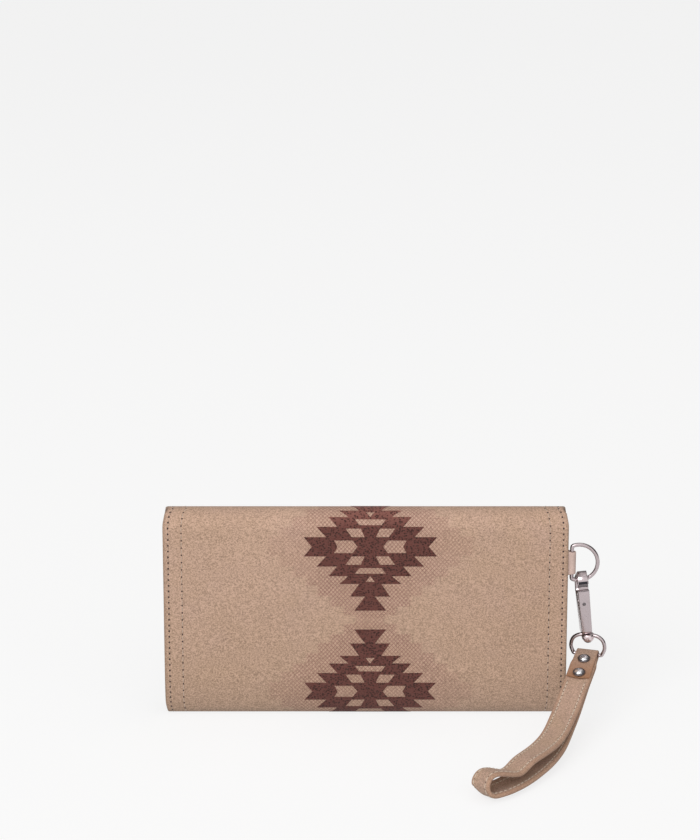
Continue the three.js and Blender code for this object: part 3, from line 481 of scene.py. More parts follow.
def build_handled():
    """Metal that has been handled: smears, fine scratches and tarnish."""
    n, source, target = effect(
        "handled",
        {"Place": "vector", "Bright": (0.6, 0.55, 0.55), "Tarnish": (0.2, 0.16, 0.15),
         "Base": 0.22},
        {"Colour": (0.5, 0.5, 0.5), "Roughness": 0.3, "Height": 0.0})
    smear = n.noise(source["Place"], 350, 3, 0.6)
    scratch = n.noise(source["Place"], 1500, 2, 0.7, stretch=(1.0, 1.0, 0.08))
    spots = n.span(n.noise(source["Place"], 900, 3, 0.6), 0.56, 0.72, 0, 1)
    dull = n.math("MULTIPLY", spots, 0.55)
    n.link(n.blend(dull, source["Bright"], source["Tarnish"]), target["Colour"])
    rough = n.math("ADD", source["Base"], n.math("MULTIPLY", smear, 0.22))
    n.link(n.math("ADD", rough, n.math("MULTIPLY", dull, 0.2), clamp=True), target["Roughness"])
    marks = n.math("ADD", n.math("MULTIPLY", scratch, 0.5), n.math("MULTIPLY", smear, 0.5))
    n.link(marks, target["Height"])


def build_hatch():
    """Fine crossed lines, laid out on the unrolled cover."""
    n, source, target = effect(
        "hatch", {"Flat": "vector", "Pitch": 2.0 * MM, "Line": 0.13}, {"Lines": 0.0})
    x, y, _ = n.parts(source["Flat"])
    slope = n.math("MULTIPLY", y, 0.9)
    lines = []
    for mode in ("ADD", "SUBTRACT"):
        run = n.math("DIVIDE", n.math(mode, x, slope), source["Pitch"])
        off = n.math("ABSOLUTE", n.math("SUBTRACT", n.math("FRACT", run), 0.5))
        near = n.math("SUBTRACT", 0.5, off)
        lines.append(n.span(near, 0, source["Line"], 1, 0, smooth=True))
    n.link(n.math("MAXIMUM", *lines), target["Lines"])


def finish(name, roughness=0.8, metallic=0.0):
    """A material with its node calls, its shader and the piece's own place."""
    material = bpy.data.materials.new(name)
    material.use_nodes = True
    n = Nodes(material.node_tree)
    shader = material.node_tree.nodes["Principled BSDF"]
    shader.inputs["Roughness"].default_value = roughness
    shader.inputs["Metallic"].default_value = metallic
    return material, n, shader, n.attribute("place").outputs["Vector"]


def bump(n, shader, height, strength, distance):
    node = n.add("ShaderNodeBump")
    node.inputs["Strength"].default_value = strength
    node.inputs["Distance"].default_value = distance
    n.link(height, node.inputs["Height"])
    n.link(node.outputs[0], shader.inputs["Normal"])


def colour(values, shade=1.0):
    return (values[0] * shade, values[1] * shade, values[2] * shade, 1)


SUEDE_GRAIN = 1900.0
HATCH_PITCH = 2.0 * MM
HATCH_BROWN = (0.20, 0.075, 0.062, 1)
FLECK_SCALE = 860


def suede_material():
    values = settings()
    material, n, shader, place = finish("cover_suede", 0.88)
    shader.inputs["Sheen Weight"].default_value = 0.12
    shader.inputs["Sheen Roughness"].default_value = 0.5
    shader.inputs["Specular IOR Level"].default_value = 0.25
    nap = n.group("nap", Place=place, Grain=SUEDE_GRAIN, Cloud=55.0)
    height = n.parts(place)[2]
    # Painted light: climb runs from 0 at the floor to 1 at the top, and with the clouds it makes
    # the cover rosier and lighter towards the top.
    climb = n.span(height, 0.0, TOP, 0, 1, smooth=True)
    rose_and_top_light = n.math("ADD", n.math("MULTIPLY", nap["Clouds"], 0.55),
                  n.math("MULTIPLY", climb, 0.45), clamp=True)
    mottled = n.blend(n.span(nap["Olive"], 0, 1, 0, 0.55),
                      colour(values.suede_rose), colour(values.suede, 1.02))
    base = n.blend(rose_and_top_light, colour(values.suede), mottled)
    rubbed = n.blend(n.math("MULTIPLY", nap["Rub"], 0.35), base, colour(values.suede_rose, 1.18))
    # Painted shade: the cover turns darker towards the bottom.
    painted_low_shade = n.blend(n.span(climb, 0, 1, 0.3, 0), rubbed, colour(values.suede, 0.72))
    pits = n.blend(n.span(nap["Fine"], 0, 0.5, 0.6, 0), painted_low_shade, colour(values.suede, 0.42))
    grain = n.blend(n.span(nap["Fine"], 0.5, 1, 0, 0.36), pits, colour(values.suede_rose, 1.6))
    flat = n.attribute("flat").outputs["Vector"]
    lines = n.group("hatch", Flat=flat, Pitch=HATCH_PITCH, Line=0.17)["Lines"]
    mask = n.attribute("hatch_mask").outputs["Fac"]
    patchy = n.math("MULTIPLY", n.math("MULTIPLY", lines, mask),
                    n.span(nap["Rub"], 0, 1, 1.0, 0.6))
    hatched = n.blend(patchy, grain, HATCH_BROWN)
    blush = n.blend(n.math("MULTIPLY", mask, 0.1), hatched, (0.46, 0.27, 0.22, 1))
    edge = n.attribute("edge").outputs["Fac"]
    worn = n.blend(n.math("MULTIPLY", edge, 0.45), blush, colour(values.suede, 0.5))
    n.link(worn, shader.inputs["Base Color"])
    n.link(n.span(nap["Fine"], 0, 1, 0.95, 0.8), shader.inputs["Roughness"])
    bump(n, shader, nap["Height"], 0.35, 0.12 * MM)
    return material


def print_material():
    values = settings()
    material, n, shader, place = finish("print_brown", 0.8)
    shader.inputs["Sheen Weight"].default_value = 0.08
    shader.inputs["Specular IOR Level"].default_value = 0.2
    nap = n.group("nap", Place=place, Grain=SUEDE_GRAIN, Cloud=60.0)
    # Painted light: the print turns lighter and redder over its top 9 mm, on the top roll.
    climb = n.span(n.parts(place)[2], TOP - 9 * MM, TOP, 0, 1, smooth=True)
    base = n.blend(n.math("MULTIPLY", nap["Clouds"], 0.4),
                   colour(values.print_brown), colour(values.print_brown, 1.35))
    rose_and_top_light = n.blend(n.math("MULTIPLY", climb, 0.6), base, (0.30, 0.12, 0.095, 1))
    flat = n.attribute("flat").outputs["Vector"]
    speck = n.add("ShaderNodeTexVoronoi")
    n.link(n.vector("MULTIPLY", flat, (1.0, 1.35, 1.0)), speck.inputs["Vector"])
    speck.inputs["Scale"].default_value = FLECK_SCALE
    speck.inputs["Randomness"].default_value = 0.8
    fleck = n.span(speck.outputs["Distance"], 0.32, 0.52, 1, 0)
    dark = n.blend(n.math("MULTIPLY", fleck, 0.95), rose_and_top_light, colour(values.print_brown, 0.18))
    light = n.blend(n.math("MULTIPLY", nap["Fine"], 0.16), dark, (0.26, 0.125, 0.10, 1))
    n.link(light, shader.inputs["Base Color"])
    n.link(n.span(nap["Fine"], 0, 1, 0.9, 0.72), shader.inputs["Roughness"])
    bump(n, shader, n.math("SUBTRACT", nap["Height"], fleck), 0.3, 0.12 * MM)
    return material


def strap_material(name, shade, edge_wear):
    values = settings()
    material, n, shader, place = finish(name, 0.8)
    shader.inputs["Sheen Weight"].default_value = 0.1
    shader.inputs["Specular IOR Level"].default_value = 0.3
    nap = n.group("nap", Place=place, Grain=2000.0, Cloud=90.0)
    leather, rose = values.strap_leather, values.suede_rose
    base = n.blend(nap["Clouds"], colour(leather, shade), colour(rose, 0.92 * shade))
    pits = n.blend(n.span(nap["Fine"], 0, 0.5, 0.5, 0), base, colour(leather, 0.42 * shade))
    grain = n.blend(n.span(nap["Fine"], 0.5, 1, 0, 0.4), pits, colour(rose, 1.6 * shade))
    edge = n.attribute("edge").outputs["Fac"]
    worn = n.blend(n.math("MULTIPLY", edge, edge_wear), grain, (0.34, 0.16, 0.08, 1))
    n.link(worn, shader.inputs["Base Color"])
    n.link(n.span(nap["Fine"], 0, 1, 0.9, 0.7), shader.inputs["Roughness"])
    wrinkle = n.noise(place, 260, 4, 0.6)
    bump(n, shader, n.math("ADD", nap["Height"], wrinkle), 0.4, 0.15 * MM)
    return material


def smooth_leather(name, tint, grain_scale):
    material, n, shader, place = finish(name, 0.62)
    shader.inputs["Specular IOR Level"].default_value = 0.35
    nap = n.group("nap", Place=place, Grain=grain_scale, Cloud=70.0)
    base = n.blend(nap["Clouds"], colour(tint, 0.88), colour(tint, 1.08))
    grain = n.blend(n.span(nap["Fine"], 0, 1, 0.35, 0), base, colour(tint, 0.55))
    n.link(grain, shader.inputs["Base Color"])
    n.link(n.span(nap["Clouds"], 0, 1, 0.7, 0.52), shader.inputs["Roughness"])
    pores = n.add("ShaderNodeTexVoronoi")
    n.link(place, pores.inputs["Vector"])
    pores.inputs["Scale"].default_value = 900
    pitted = n.math("ADD", pores.outputs["Distance"], nap["Height"])
    bump(n, shader, pitted, 0.35, 0.1 * MM)
    return material


def cloth_material(name, tint, pitch):
    material, n, shader, place = finish(name, 0.92)
    shader.inputs["Sheen Weight"].default_value = 0.15
    weave = n.group("weave", Place=place, Pitch=pitch)
    cloud = n.span(n.noise(place, 60, 3, 0.5), 0.35, 0.65, 0, 1)
    base = n.blend(cloud, colour(tint, 0.88), colour(tint, 1.1))
    threads = n.blend(n.span(weave["Tone"], 0, 1, 0.6, 0), base, colour(tint, 0.4))
    n.link(threads, shader.inputs["Base Color"])
    n.link(n.span(weave["Tone"], 0, 1, 0.98, 0.85), shader.inputs["Roughness"])
    bump(n, shader, weave["Height"], 0.5, 0.12 * MM)
    return material


def metal(name, bright, tarnish, base):
    material, n, shader, place = finish(name, base, 1.0)
    worn = n.group("handled", Place=place, Bright=colour(bright), Tarnish=colour(tarnish),
                   Base=base)
    n.link(worn["Colour"], shader.inputs["Base Color"])
    n.link(worn["Roughness"], shader.inputs["Roughness"])
    bump(n, shader, worn["Height"], 0.25, 0.02 * MM)
    return material


def thread_material(name, tint):
    material, n, shader, place = finish(name, 0.75)
    shader.inputs["Sheen Weight"].default_value = 0.2
    twist = n.noise(place, 3200, 2, 0.5, stretch=(1.0, 1.0, 0.6))
    turns = n.blend(n.span(twist, 0.35, 0.65, 0.5, 0), colour(tint), colour(tint, 0.5))
    n.link(turns, shader.inputs["Base Color"])
    n.link(n.span(twist, 0.3, 0.7, 0.85, 0.65), shader.inputs["Roughness"])
    bump(n, shader, twist, 0.6, 0.08 * MM)
    return material


def board_material():
    material, n, shader, place = finish("greyboard", 0.95)
    fibre = n.noise(place, 1400, 4, 0.7, stretch=(0.4, 1.0, 1.0))
    pulp = n.blend(n.span(fibre, 0.35, 0.65, 0, 1), (0.16, 0.15, 0.14, 1), (0.30, 0.28, 0.26, 1))
    n.link(pulp, shader.inputs["Base Color"])
    n.link(n.span(fibre, 0.3, 0.7, 0.98, 0.85), shader.inputs["Roughness"])
    bump(n, shader, fibre, 0.5, 0.1 * MM)
    return material


def vinyl_material():
    material, n, shader, place = finish("clear_vinyl", 0.12)
    shader.inputs["Base Color"].default_value = (0.93, 0.95, 0.95, 1)
    shader.inputs["Transmission Weight"].default_value = 0.9
    shader.inputs["IOR"].default_value = 1.45
    ripple = n.noise(place, 120, 3, 0.5)
    n.link(n.span(ripple, 0.3, 0.7, 0.08, 0.22), shader.inputs["Roughness"])
    bump(n, shader, ripple, 0.15, 0.1 * MM)
    return material


def build_materials():
    values = settings()
    build_nap()
    build_weave()
    build_handled()
    build_hatch()
    return {
        "suede": suede_material(),
        "print": print_material(),
        "strap": strap_material("strap_leather", 1.0, 0.35),
        "tail": strap_material("strap_tail", 0.92, 0.9),
        "tab": smooth_leather("tab_leather", (0.66, 0.49, 0.43), 2400.0),
        "card": smooth_leather("card_leather", (0.36, 0.245, 0.18), 2600.0),
        "lining": cloth_material("lining_cloth", (0.20, 0.135, 0.10), 0.55 * MM),
        "tape": cloth_material("zip_tape", (0.15, 0.10, 0.075), 0.7 * MM),
        "board": board_material(),
        "vinyl": vinyl_material(),
        "zip": metal("zip_metal", (0.48, 0.41, 0.34), (0.18, 0.14, 0.11), 0.28),
        "nickel": metal("nickel", values.nickel, (0.30, 0.24, 0.24), 0.12),
        # A brighter copy of the nickel for the swivel's boss: painted highlight.
        "polished": metal("polished_nickel", (0.74, 0.63, 0.64), (0.42, 0.33, 0.33), 0.2),
        # Dark steel for the pins, spring, stem and rivets; on the hook's gate, mouth band, ledge
        # and dimple it is painted shade.
        "steel": metal("dark_steel", (0.17, 0.15, 0.155), (0.07, 0.06, 0.06), 0.26),
        "bright": metal("bright_facets", (0.86, 0.86, 0.88), (0.55, 0.53, 0.55), 0.2),
        "shadow": metal("shadow_steel", (0.045, 0.042, 0.048), (0.03, 0.026, 0.028), 0.35),
        "thread": thread_material("tan_thread", (0.58, 0.44, 0.34)),
        "cream": thread_material("cream_thread", (0.76, 0.66, 0.52)),
        # Near-black dots for the needle holes: painted shade.
        "needle": thread_material("needle_hole", (0.045, 0.02, 0.016)),
    }


MATERIALS = {}


# ---------------------------------------------------------------- the cover's outer line

def back_line():
    """Outer line of the cover from under the base, up the back and over the top roll."""
    half_flat = BASE_FLAT / 2
    fold = arc_points((-half_flat, BASE_ROUND), (BASE_BACK - half_flat, BASE_ROUND), 270, 180, 60)
    roll = arc_points((0, ROLL_CENTRE), (ROLL_RADIUS, ROLL_RADIUS),
                      180 - math.degrees(LEAN), COVER_SPLIT, 90)
    return np.vstack([[(2 * MM, 0.0)], fold, roll])


def flap_line():
    """Outer line from the split on the top roll down to the flap's edge."""
    roll = arc_points((0, ROLL_CENTRE), (ROLL_RADIUS, ROLL_RADIUS),
                      COVER_SPLIT, math.degrees(LEAN), 30)
    drop = FLAP_HINGE[2] - FLAP_LOW
    return np.vstack([roll, [(FLAP_HINGE[1] + drop * math.tan(LEAN), FLAP_LOW)]])


def front_line():
    """Outer line from under the base up the front panel."""
    half_flat = BASE_FLAT / 2
    reach = PANEL_HINGE[1] - half_flat
    fold = arc_points((half_flat, BASE_ROUND), (reach, BASE_ROUND), 270, 360, 50)
    rise = PANEL_HIGH - BASE_ROUND
    top = (PANEL_HINGE[1] - rise * math.tan(LEAN), PANEL_HIGH)
    return np.vstack([[(2 * MM, 0.0)], fold, [top]])


class Skin:
    """A leather panel that follows a (y, z) line across the wallet's width."""

    def __init__(self, line, outward, bodies, start, end, corner=0.0):
        steps = np.linalg.norm(np.diff(line, axis=0), axis=1)
        keep = np.r_[True, steps > 1e-7]
        self.line = line[keep]
        self.distance = np.r_[0, np.cumsum(np.linalg.norm(np.diff(self.line, axis=0), axis=1))]
        self.length = self.distance[-1]
        self.outward = outward
        self.bodies = bodies
        self.start = start
        self.end = end
        self.corner = corner

    def point(self, s):
        return np.stack([np.interp(s, self.distance, self.line[:, k]) for k in (0, 1)], -1)

    def normal(self, s):
        step = 0.6 * MM
        ahead = self.point(np.clip(s + step, 0, self.length))
        behind = self.point(np.clip(s - step, 0, self.length))
        run = ahead - behind
        run = run / np.linalg.norm(run, axis=-1, keepdims=True)
        return self.outward * np.stack([-run[..., 1], run[..., 0]], -1)

    def half_width(self, s):
        """The cover draws in a little at its folds and rounds off at the flap's corners."""
        _, z = np.moveaxis(self.point(s), -1, 0)
        at_base = 1.1 * MM * (1 - ease(-3 * MM, 8 * MM, z))
        at_top = 0.9 * MM * ease(TOP - 7 * MM, TOP, z)
        half = HALF_WIDTH - at_base - at_top
        half = half - 1.3 * MM * ease(TOP - 1.6 * MM, TOP, z)
        if self.corner:
            into = np.clip(s - (self.length - self.corner), 0, self.corner)
            half = half - self.corner + np.sqrt(np.maximum(self.corner ** 2 - into ** 2, 0))
        return half

    def swell(self, x, s):
        """Soft unevenness of the hide, with a slight crown towards the middle."""
        _, z = np.moveaxis(self.point(s), -1, 0)
        middle = 1 - (x / HALF_WIDTH) ** 4
        wall = ease(4 * MM, 30 * MM, z) * (1 - ease(TOP - 26 * MM, TOP - 8 * MM, z))
        ripple = (np.sin(x * 95 + 1.3) * np.sin(z * 130 + 0.5)
                  + 0.6 * np.sin(x * 210 + z * 160 + 2.0))
        return (0.5 * middle * wall + 0.07 * ripple * wall) * MM

    def at(self, x, s, lift=0.0):
        x, s, lift = np.broadcast_arrays(*(np.asarray(v, float) for v in (x, s, lift)))
        base, out = self.point(s), self.normal(s)
        rise = lift + self.swell(x, s)
        return np.stack([x, base[..., 0] + out[..., 0] * rise,
                         base[..., 1] + out[..., 1] * rise], -1)

    def hold(self, piece):
        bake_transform(piece)


def hatch_strength(x, s, centres):
    """How strongly the crossed lines show: stepped diamonds that fade outwards."""
    strength = np.zeros_like(x)
    out = np.abs(x - settings().print_offset)
    for centre in centres:
        up = np.abs(s - centre)
        step = np.floor(up / (5.1 * MM))
        reach = np.maximum(51 - 6.2 * step, 8) * MM
        inside = 1 - ease(reach - 1.0 * MM, reach, out)
        fade = 1 - 0.55 * ease(18 * MM, 54 * MM, out)
        inside *= fade * (1 - ease(36 * MM, 40 * MM, up))
        strength = np.maximum(strength, inside)
    return strength


def build_skin(name, skin, open_end, centres, nodes):
    """One closed leather panel with turned side edges and a rounded open end."""
    turn = EDGE_TURN
    stations = list(spread(0, skin.length - turn, 0.9 * MM))
    insets = [0.0] * len(stations)
    if open_end:
        for angle in np.radians([22, 45, 67, 90]):
            stations.append(skin.length - turn + turn * math.sin(angle))
            insets.append(turn * (1 - math.cos(angle)))
    else:
        stations.append(skin.length)
        insets.append(0.0)
    seams = [settings().edge_seam, settings().inner_seam]
    flats = list(np.linspace(-1, 1, 141))
    for seam in seams:
        for side in (-1, 1):
            centre = side * (1 - seam / HALF_WIDTH)
            flats += [centre + d * MM / HALF_WIDTH for d in (-0.8, -0.4, 0, 0.4, 0.8)]
    flats = np.array(sorted(flats))
    flats = flats[(flats > -0.994) & (flats < 0.994)]
    flats = flats[np.r_[True, np.diff(flats) > 1e-4]]
    rings, edge, flat, mask = [], [], [], []
    for s, inset in zip(stations, insets):
        half = float(skin.half_width(s))
        top_x = flats * half
        groove = sum(np.exp(-((np.abs(top_x) - (half - seam)) / (0.45 * MM)) ** 2)
                     for seam in seams)
        lift = -inset - 0.13 * MM * groove
        angles = np.radians([80, 60, 40, 20, 0, -20, -40, -60, -80])
        side_x = half - turn + turn * np.cos(angles)
        side_depth = np.where(angles > 0, turn * (1 - np.sin(angles)),
                              LEATHER - turn * (1 + np.sin(angles)))
        side_depth[4] = LEATHER / 2
        side_depth = np.clip(side_depth, inset, LEATHER - inset)
        under_x = np.linspace(half - turn, -half + turn, 31)
        xs = np.r_[top_x, side_x, under_x, -side_x[::-1]]
        lifts = np.r_[lift, -side_depth, np.full(31, -LEATHER + inset), -side_depth[::-1]]
        rings.append(skin.at(xs, s, lifts))
        rim = np.r_[ease(half - 1.2 * MM, half, np.abs(top_x)), np.ones(9),
                    np.full(31, 0.35), np.ones(9)]
        edge.append(np.maximum(rim, 1.0 if inset > 0 else 0.0))
        flat.append(np.stack([xs, np.full_like(xs, s), np.zeros_like(xs)], 1))
        shown = hatch_strength(xs, s, centres)
        shown[len(top_x):] = 0
        mask.append(shown)
    rings = np.array(rings)
    if skin.outward < 0:
        rings, edge, flat, mask = (np.array(v)[:, ::-1] for v in (rings, edge, flat, mask))
    piece = rings_piece(name, rings, MATERIALS["suede"], 50, {"edge": edge, "hatch_mask": mask})
    keep_places(piece.data, flat, "flat")
    skin.hold(piece)
    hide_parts(*nodes)


def capsule(heap, start, end, up, radius, droop=0.0, sides=8):
    """A thread between two needle holes, bowed up in the middle."""
    start, end, up = (np.asarray(v, float) for v in (start, end, up))
    t = np.array([0, 0.08, 0.25, 0.5, 0.75, 0.92, 1.0])
    swell = np.array([0.35, 0.8, 1, 1, 1, 0.8, 0.35])
    path = start + np.outer(t, end - start) + np.outer(np.sin(t * math.pi) * droop, up)
    heap.add_rings(swept_rings(path, radius * swell, sides))


def seam_row(threads, holes, skin, x_of, first, last, pitch, radius, show, hole):
    """Stitches with dark needle holes between them, along a skin. The holes are dark dots of
    painted shade.
    """
    count = max(1, int(round((last - first) / pitch)))
    step = (last - first) / count
    for i in range(count + 1):
        s = first + i * step
        x = x_of(s)
        centre = skin.at(x, s, 0.03 * MM)
        out = np.r_[0.0, skin.normal(s)]
        if i < count and show > 0:
            gap = step * (1 - show) / 2
            a, b = s + gap, s + step - gap
            ends = (skin.at(x_of(t), t, -0.12 * MM) for t in (a, b))
            capsule(threads, *ends, out, radius, droop=0.16 * MM)
        dot = [(1.0, -0.25 * MM), (0.98, 0.0), (0.7, 0.05 * MM), (0.0, 0.06 * MM)]
        dot = [(share * hole, height) for share, height in dot]
        holes.add_rings(turned_rings(dot, centre - out * 0.1 * MM, out, 10))


def sew_skin(name, skin, first, last):
    values = settings()
    threads, holes = Heap(), Heap()
    for side in (-1, 1):
        for seam, pitch, show, radius, hole in (
                (values.edge_seam, values.edge_pitch, 0.4, values.thread * 0.7, 0.52 * MM),
                (values.inner_seam, values.inner_pitch, 0.62, values.thread, 0.44 * MM)):
            def x_of(s, side=side, seam=seam):
                return side * (float(skin.half_width(s)) - seam)
            seam_row(threads, holes, skin, x_of, first, last, pitch, radius, show, hole)
    skin.hold(threads.piece(name + "_thread", MATERIALS["thread"]))
    skin.hold(holes.piece(name + "_needle_holes", MATERIALS["needle"]))


def wallet_skins():
    """The three panels of the cover. Each names the two bodies that it bends between; the names are
    not used.
    """
    return {
        "back": Skin(back_line(), 1, ("back", "spine"),
                     (0, -0.0100, 0.0900), (0, -0.0085, 0.1005)),
        "flap": Skin(flap_line(), 1, ("spine", "flap"),
                     (0, 0.0085, 0.1005), (0, 0.0100, 0.0900), FLAP_CORNER),
        "front": Skin(front_line(), -1, ("back", "front_panel"),
                      (0, 0.0085, 0.0170), (0, 0.0095, 0.0250)),
    }


# Rows of the stepped diamond from its middle outwards, in millimetres: [from, to, outer edge at
# each, window's outer edge at each, window's inner edge at each]. A row without a window is solid.
DIAMOND_ROWS = [
    (0.0, 3.2, 28.8, 31.43, 16.2, 17.8, 6.3, 8.7),
    (3.2, 4.87, 31.43, 32.8),
    (4.87, 9.2, 21.7, 25.7, 9.1, 12.2, 2.8, 4.7),
    (9.2, 10.07, 25.7, 26.5),
    (10.07, 10.9, 16.2, 16.91),
    (10.9, 13.8, 16.91, 19.4, 5.5, 7.7, 0.0, 0.0),
    (13.8, 15.07, 19.4, 20.5),
    (15.07, 18.0, 10.7, 14.1, 0.0, 2.2, 0.0, 0.0),
    (18.0, 19.1, 14.1, 15.4),
    (19.1, 25.6, 5.5, 9.9),
    (25.6, 32.9, 2.4, 7.9),
]
UPPER_DIAMOND_HEIGHT = 88.9 * MM
LOWER_DIAMOND_TIP = 46.2 * MM
DIAMOND_REACH = DIAMOND_ROWS[-1][1] * MM
DIAMOND_LOWEST = 3 * MM


def diamond_centres(skin):
    """Distances along the back panel of the two diamonds' middles."""
    _, z = skin.point(skin.distance).T
    wall = (skin.distance > 15 * MM) & (z < BACK_HINGE[2] + 0.01 * MM)
    upper, lower_tip = np.interp((UPPER_DIAMOND_HEIGHT, LOWER_DIAMOND_TIP),
                                 z[wall], skin.distance[wall])
    return float(upper), float(lower_tip) - DIAMOND_REACH


def inlay_patch(heap, flats, skin, centre, turned, row, left, right):
    """One closed trapezoid of print. left and right are (near, far) edges of the row."""
    offset = settings().print_offset
    start, end = row[0] * MM, row[1] * MM
    downs = spread(start, end, 0.7 * MM)
    share = (downs - start) / (end - start)
    a = mix(left[0], left[1], share) * MM
    b = mix(right[0], right[1], share) * MM
    across = max(2, int(max(abs(b - a)) / (1.6 * MM)) + 2)
    t = np.linspace(0, 1, across)
    x = offset + a[:, None] + (b - a)[:, None] * t
    s = centre + turned * np.repeat(downs[:, None], across, 1)
    top = skin.at(x, s, settings().print_lift)
    low = skin.at(x, s, -0.2 * MM)
    rows, columns = x.shape
    count = rows * columns
    index = np.arange(count).reshape(rows, columns)
    faces = []
    for i in range(rows - 1):
        for j in range(columns - 1):
            quad = (index[i, j], index[i, j + 1], index[i + 1, j + 1], index[i + 1, j])
            faces.append(quad)
            faces.append(tuple(count + v for v in quad[::-1]))
    rim = np.concatenate([index[0, :-1], index[:-1, -1], index[-1, :0:-1], index[:0:-1, 0]])
    for k, v in enumerate(rim):
        w = rim[(k + 1) % len(rim)]
        faces.append((w, v, count + v, count + w))
    if turned < 0:
        faces = [face[::-1] for face in faces]
    heap.add(np.vstack([top.reshape(-1, 3), low.reshape(-1, 3)]), faces)
    flat = np.stack([x, s, np.zeros_like(x)], -1).reshape(-1, 3)
    flats += [flat, flat]


def build_diamond(name, skin, centre):
    """The stepped diamond as thin print on the suede, with light windows in it."""
    heap, flats = Heap(), []
    for turned in (1, -1):
        for row in DIAMOND_ROWS:
            if turned < 0 and centre - row[1] * MM < DIAMOND_LOWEST:
                continue
            outer, far, near = row[2:4], row[4:6], row[6:8]
            if not far:
                spans = [((-outer[0], -outer[1]), outer)]
            else:
                spans = [((-outer[0], -outer[1]), (-far[0], -far[1])), (far, outer)]
                if max(near) > 0:
                    spans.append(((-near[0], -near[1]), near))
            for left, right in spans:
                inlay_patch(heap, flats, skin, centre, turned, row, left, right)
    piece = heap.piece(name, MATERIALS["print"])
    keep_places(piece.data, np.vstack(flats), "flat")
    skin.hold(piece)


# ---------------------------------------------------------------- flat sheets inside

class Wall:
    """A leaning wall: out counts towards +y and up climbs it from a foot point."""

    def __init__(self, y, z, lean, inside):
        self.y, self.z, self.lean, self.inside = y, z, lean, inside

    def place(self, x, out, up):
        c, s = math.cos(self.lean), math.sin(self.lean)
        return np.stack(np.broadcast_arrays(
            x, self.y + out * c - up * s, self.z + out * s + up * c), -1)


def sheet_rings(wall, x0, x1, out0, out1, low, high, hem=0.0, sag=0.0, corner=0.0, notch=None):
    """A soft sheet with rounded edges, a thicker hem along its top and a slight waviness.
    notch is (x, from, to): the sheet stops at x between those two heights."""
    thick = out1 - out0
    turn = thick * 0.48
    ups = list(spread(low + turn, high - turn, 2.0 * MM))
    for extra in (0.3, 1.5, 3.0, 3.6):
        ups += [high - extra * MM, low + extra * MM]
    if notch:
        ups += [notch[1] - 0.05 * MM, notch[1], notch[2], notch[2] + 0.05 * MM]
    ups = sorted(u for u in set(ups) if low + turn <= u <= high - turn)
    ends = np.radians([90, 60, 30])
    stations = [(low + turn - turn * math.sin(a), turn * (1 - math.cos(a))) for a in ends]
    stations += [(u, 0.0) for u in ups]
    stations += [(high - turn + turn * math.sin(a), turn * (1 - math.cos(a))) for a in ends[::-1]]
    rings = []
    for up, inset in stations:
        cut = 0.0
        if corner:
            into = np.clip(low + corner - up, 0, corner)
            cut = corner - math.sqrt(max(corner ** 2 - into ** 2, 0))
        left, right = x0 + cut, x1 - cut
        if notch and notch[1] <= up <= notch[2]:
            right = notch[0]
        xs = np.linspace(left + turn, right - turn, 61)
        angles = np.radians([60, 30, 0, -30, -60])
        bulge = hem * float(ease(high - 3.4 * MM, high - 3.0 * MM, up))
        wave = sag * (np.sin(xs * 60 + up * 30) * 0.5 + np.sin(xs * 23 + 1.0) * 0.5)
        half = thick / 2 - inset
        middle = (out0 + out1) / 2
        side = half * np.sin(angles)
        round_x = turn * np.cos(angles)
        x = np.r_[xs, right - turn + round_x, xs[::-1], left + turn - round_x[::-1]]
        out = np.r_[middle + half + bulge + wave, middle + side,
                    middle - half + wave[::-1], middle + side[::-1]]
        rings.append(wall.place(x, out, up))
    return rings


def back_wall():
    return Wall(-BASE_BACK, BASE_ROUND, -LEAN, 1)


def front_wall():
    return Wall(PANEL_HINGE[1], BASE_ROUND, LEAN, -1)


def flap_wall():
    return Wall(FLAP_HINGE[1], FLAP_HINGE[2], LEAN, -1)


def climb(wall, height):
    return (height - wall.z) / math.cos(wall.lean)


def node_sheet(name, node, wall, out0, thick, material, body, slot, hem=0.0, sag=0.03 * MM,
               corner=0.0, notch=None):
    """Stands for one flat frame node, with the same outline."""
    low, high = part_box(node)
    rings = sheet_rings(wall, low.x, high.x, out0, out0 + thick,
                        climb(wall, low.z), climb(wall, high.z), hem, sag, corner, notch)
    fasten(rings_piece(name, rings, MATERIALS[material], 50), body, slot, node)


INSIDE_PITCH = 2.8 * MM


def wall_stitches(name, wall, out, runs, body):
    """Straight rows of stitches on a wall. runs are (x0, up0, x1, up1)."""
    heap = Heap()
    toward = wall.inside * (wall.place(0.0, 1.0, 0.0) - wall.place(0.0, 0.0, 0.0))
    for x0, up0, x1, up1 in runs:
        count = max(1, int(math.hypot(x1 - x0, up1 - up0) / INSIDE_PITCH))
        for i in range(count):
            ends = (wall.place(mix(x0, x1, t), out, mix(up0, up1, t))
                    for t in ((i + 0.15) / count, (i + 0.85) / count))
            capsule(heap, *ends, toward, settings().thread * 0.8, droop=0.12 * MM, sides=6)
    fasten(heap.piece(name, MATERIALS["thread"]), body, "card_leather")


def running_stitches(heap, starts, length, y, z, side):
    """A straight row of stitches along the zip, on the face that looks to that side."""
    for start in starts:
        capsule(heap, (start, y, z), (start + length, y, z), (0, side, 0), 0.15 * MM, 0.1 * MM, 6)


# ---------------------------------------------------------------- ribbons

def unit(values):
    values = np.asarray(values, float)
    return values / np.linalg.norm(values, axis=-1, keepdims=True)


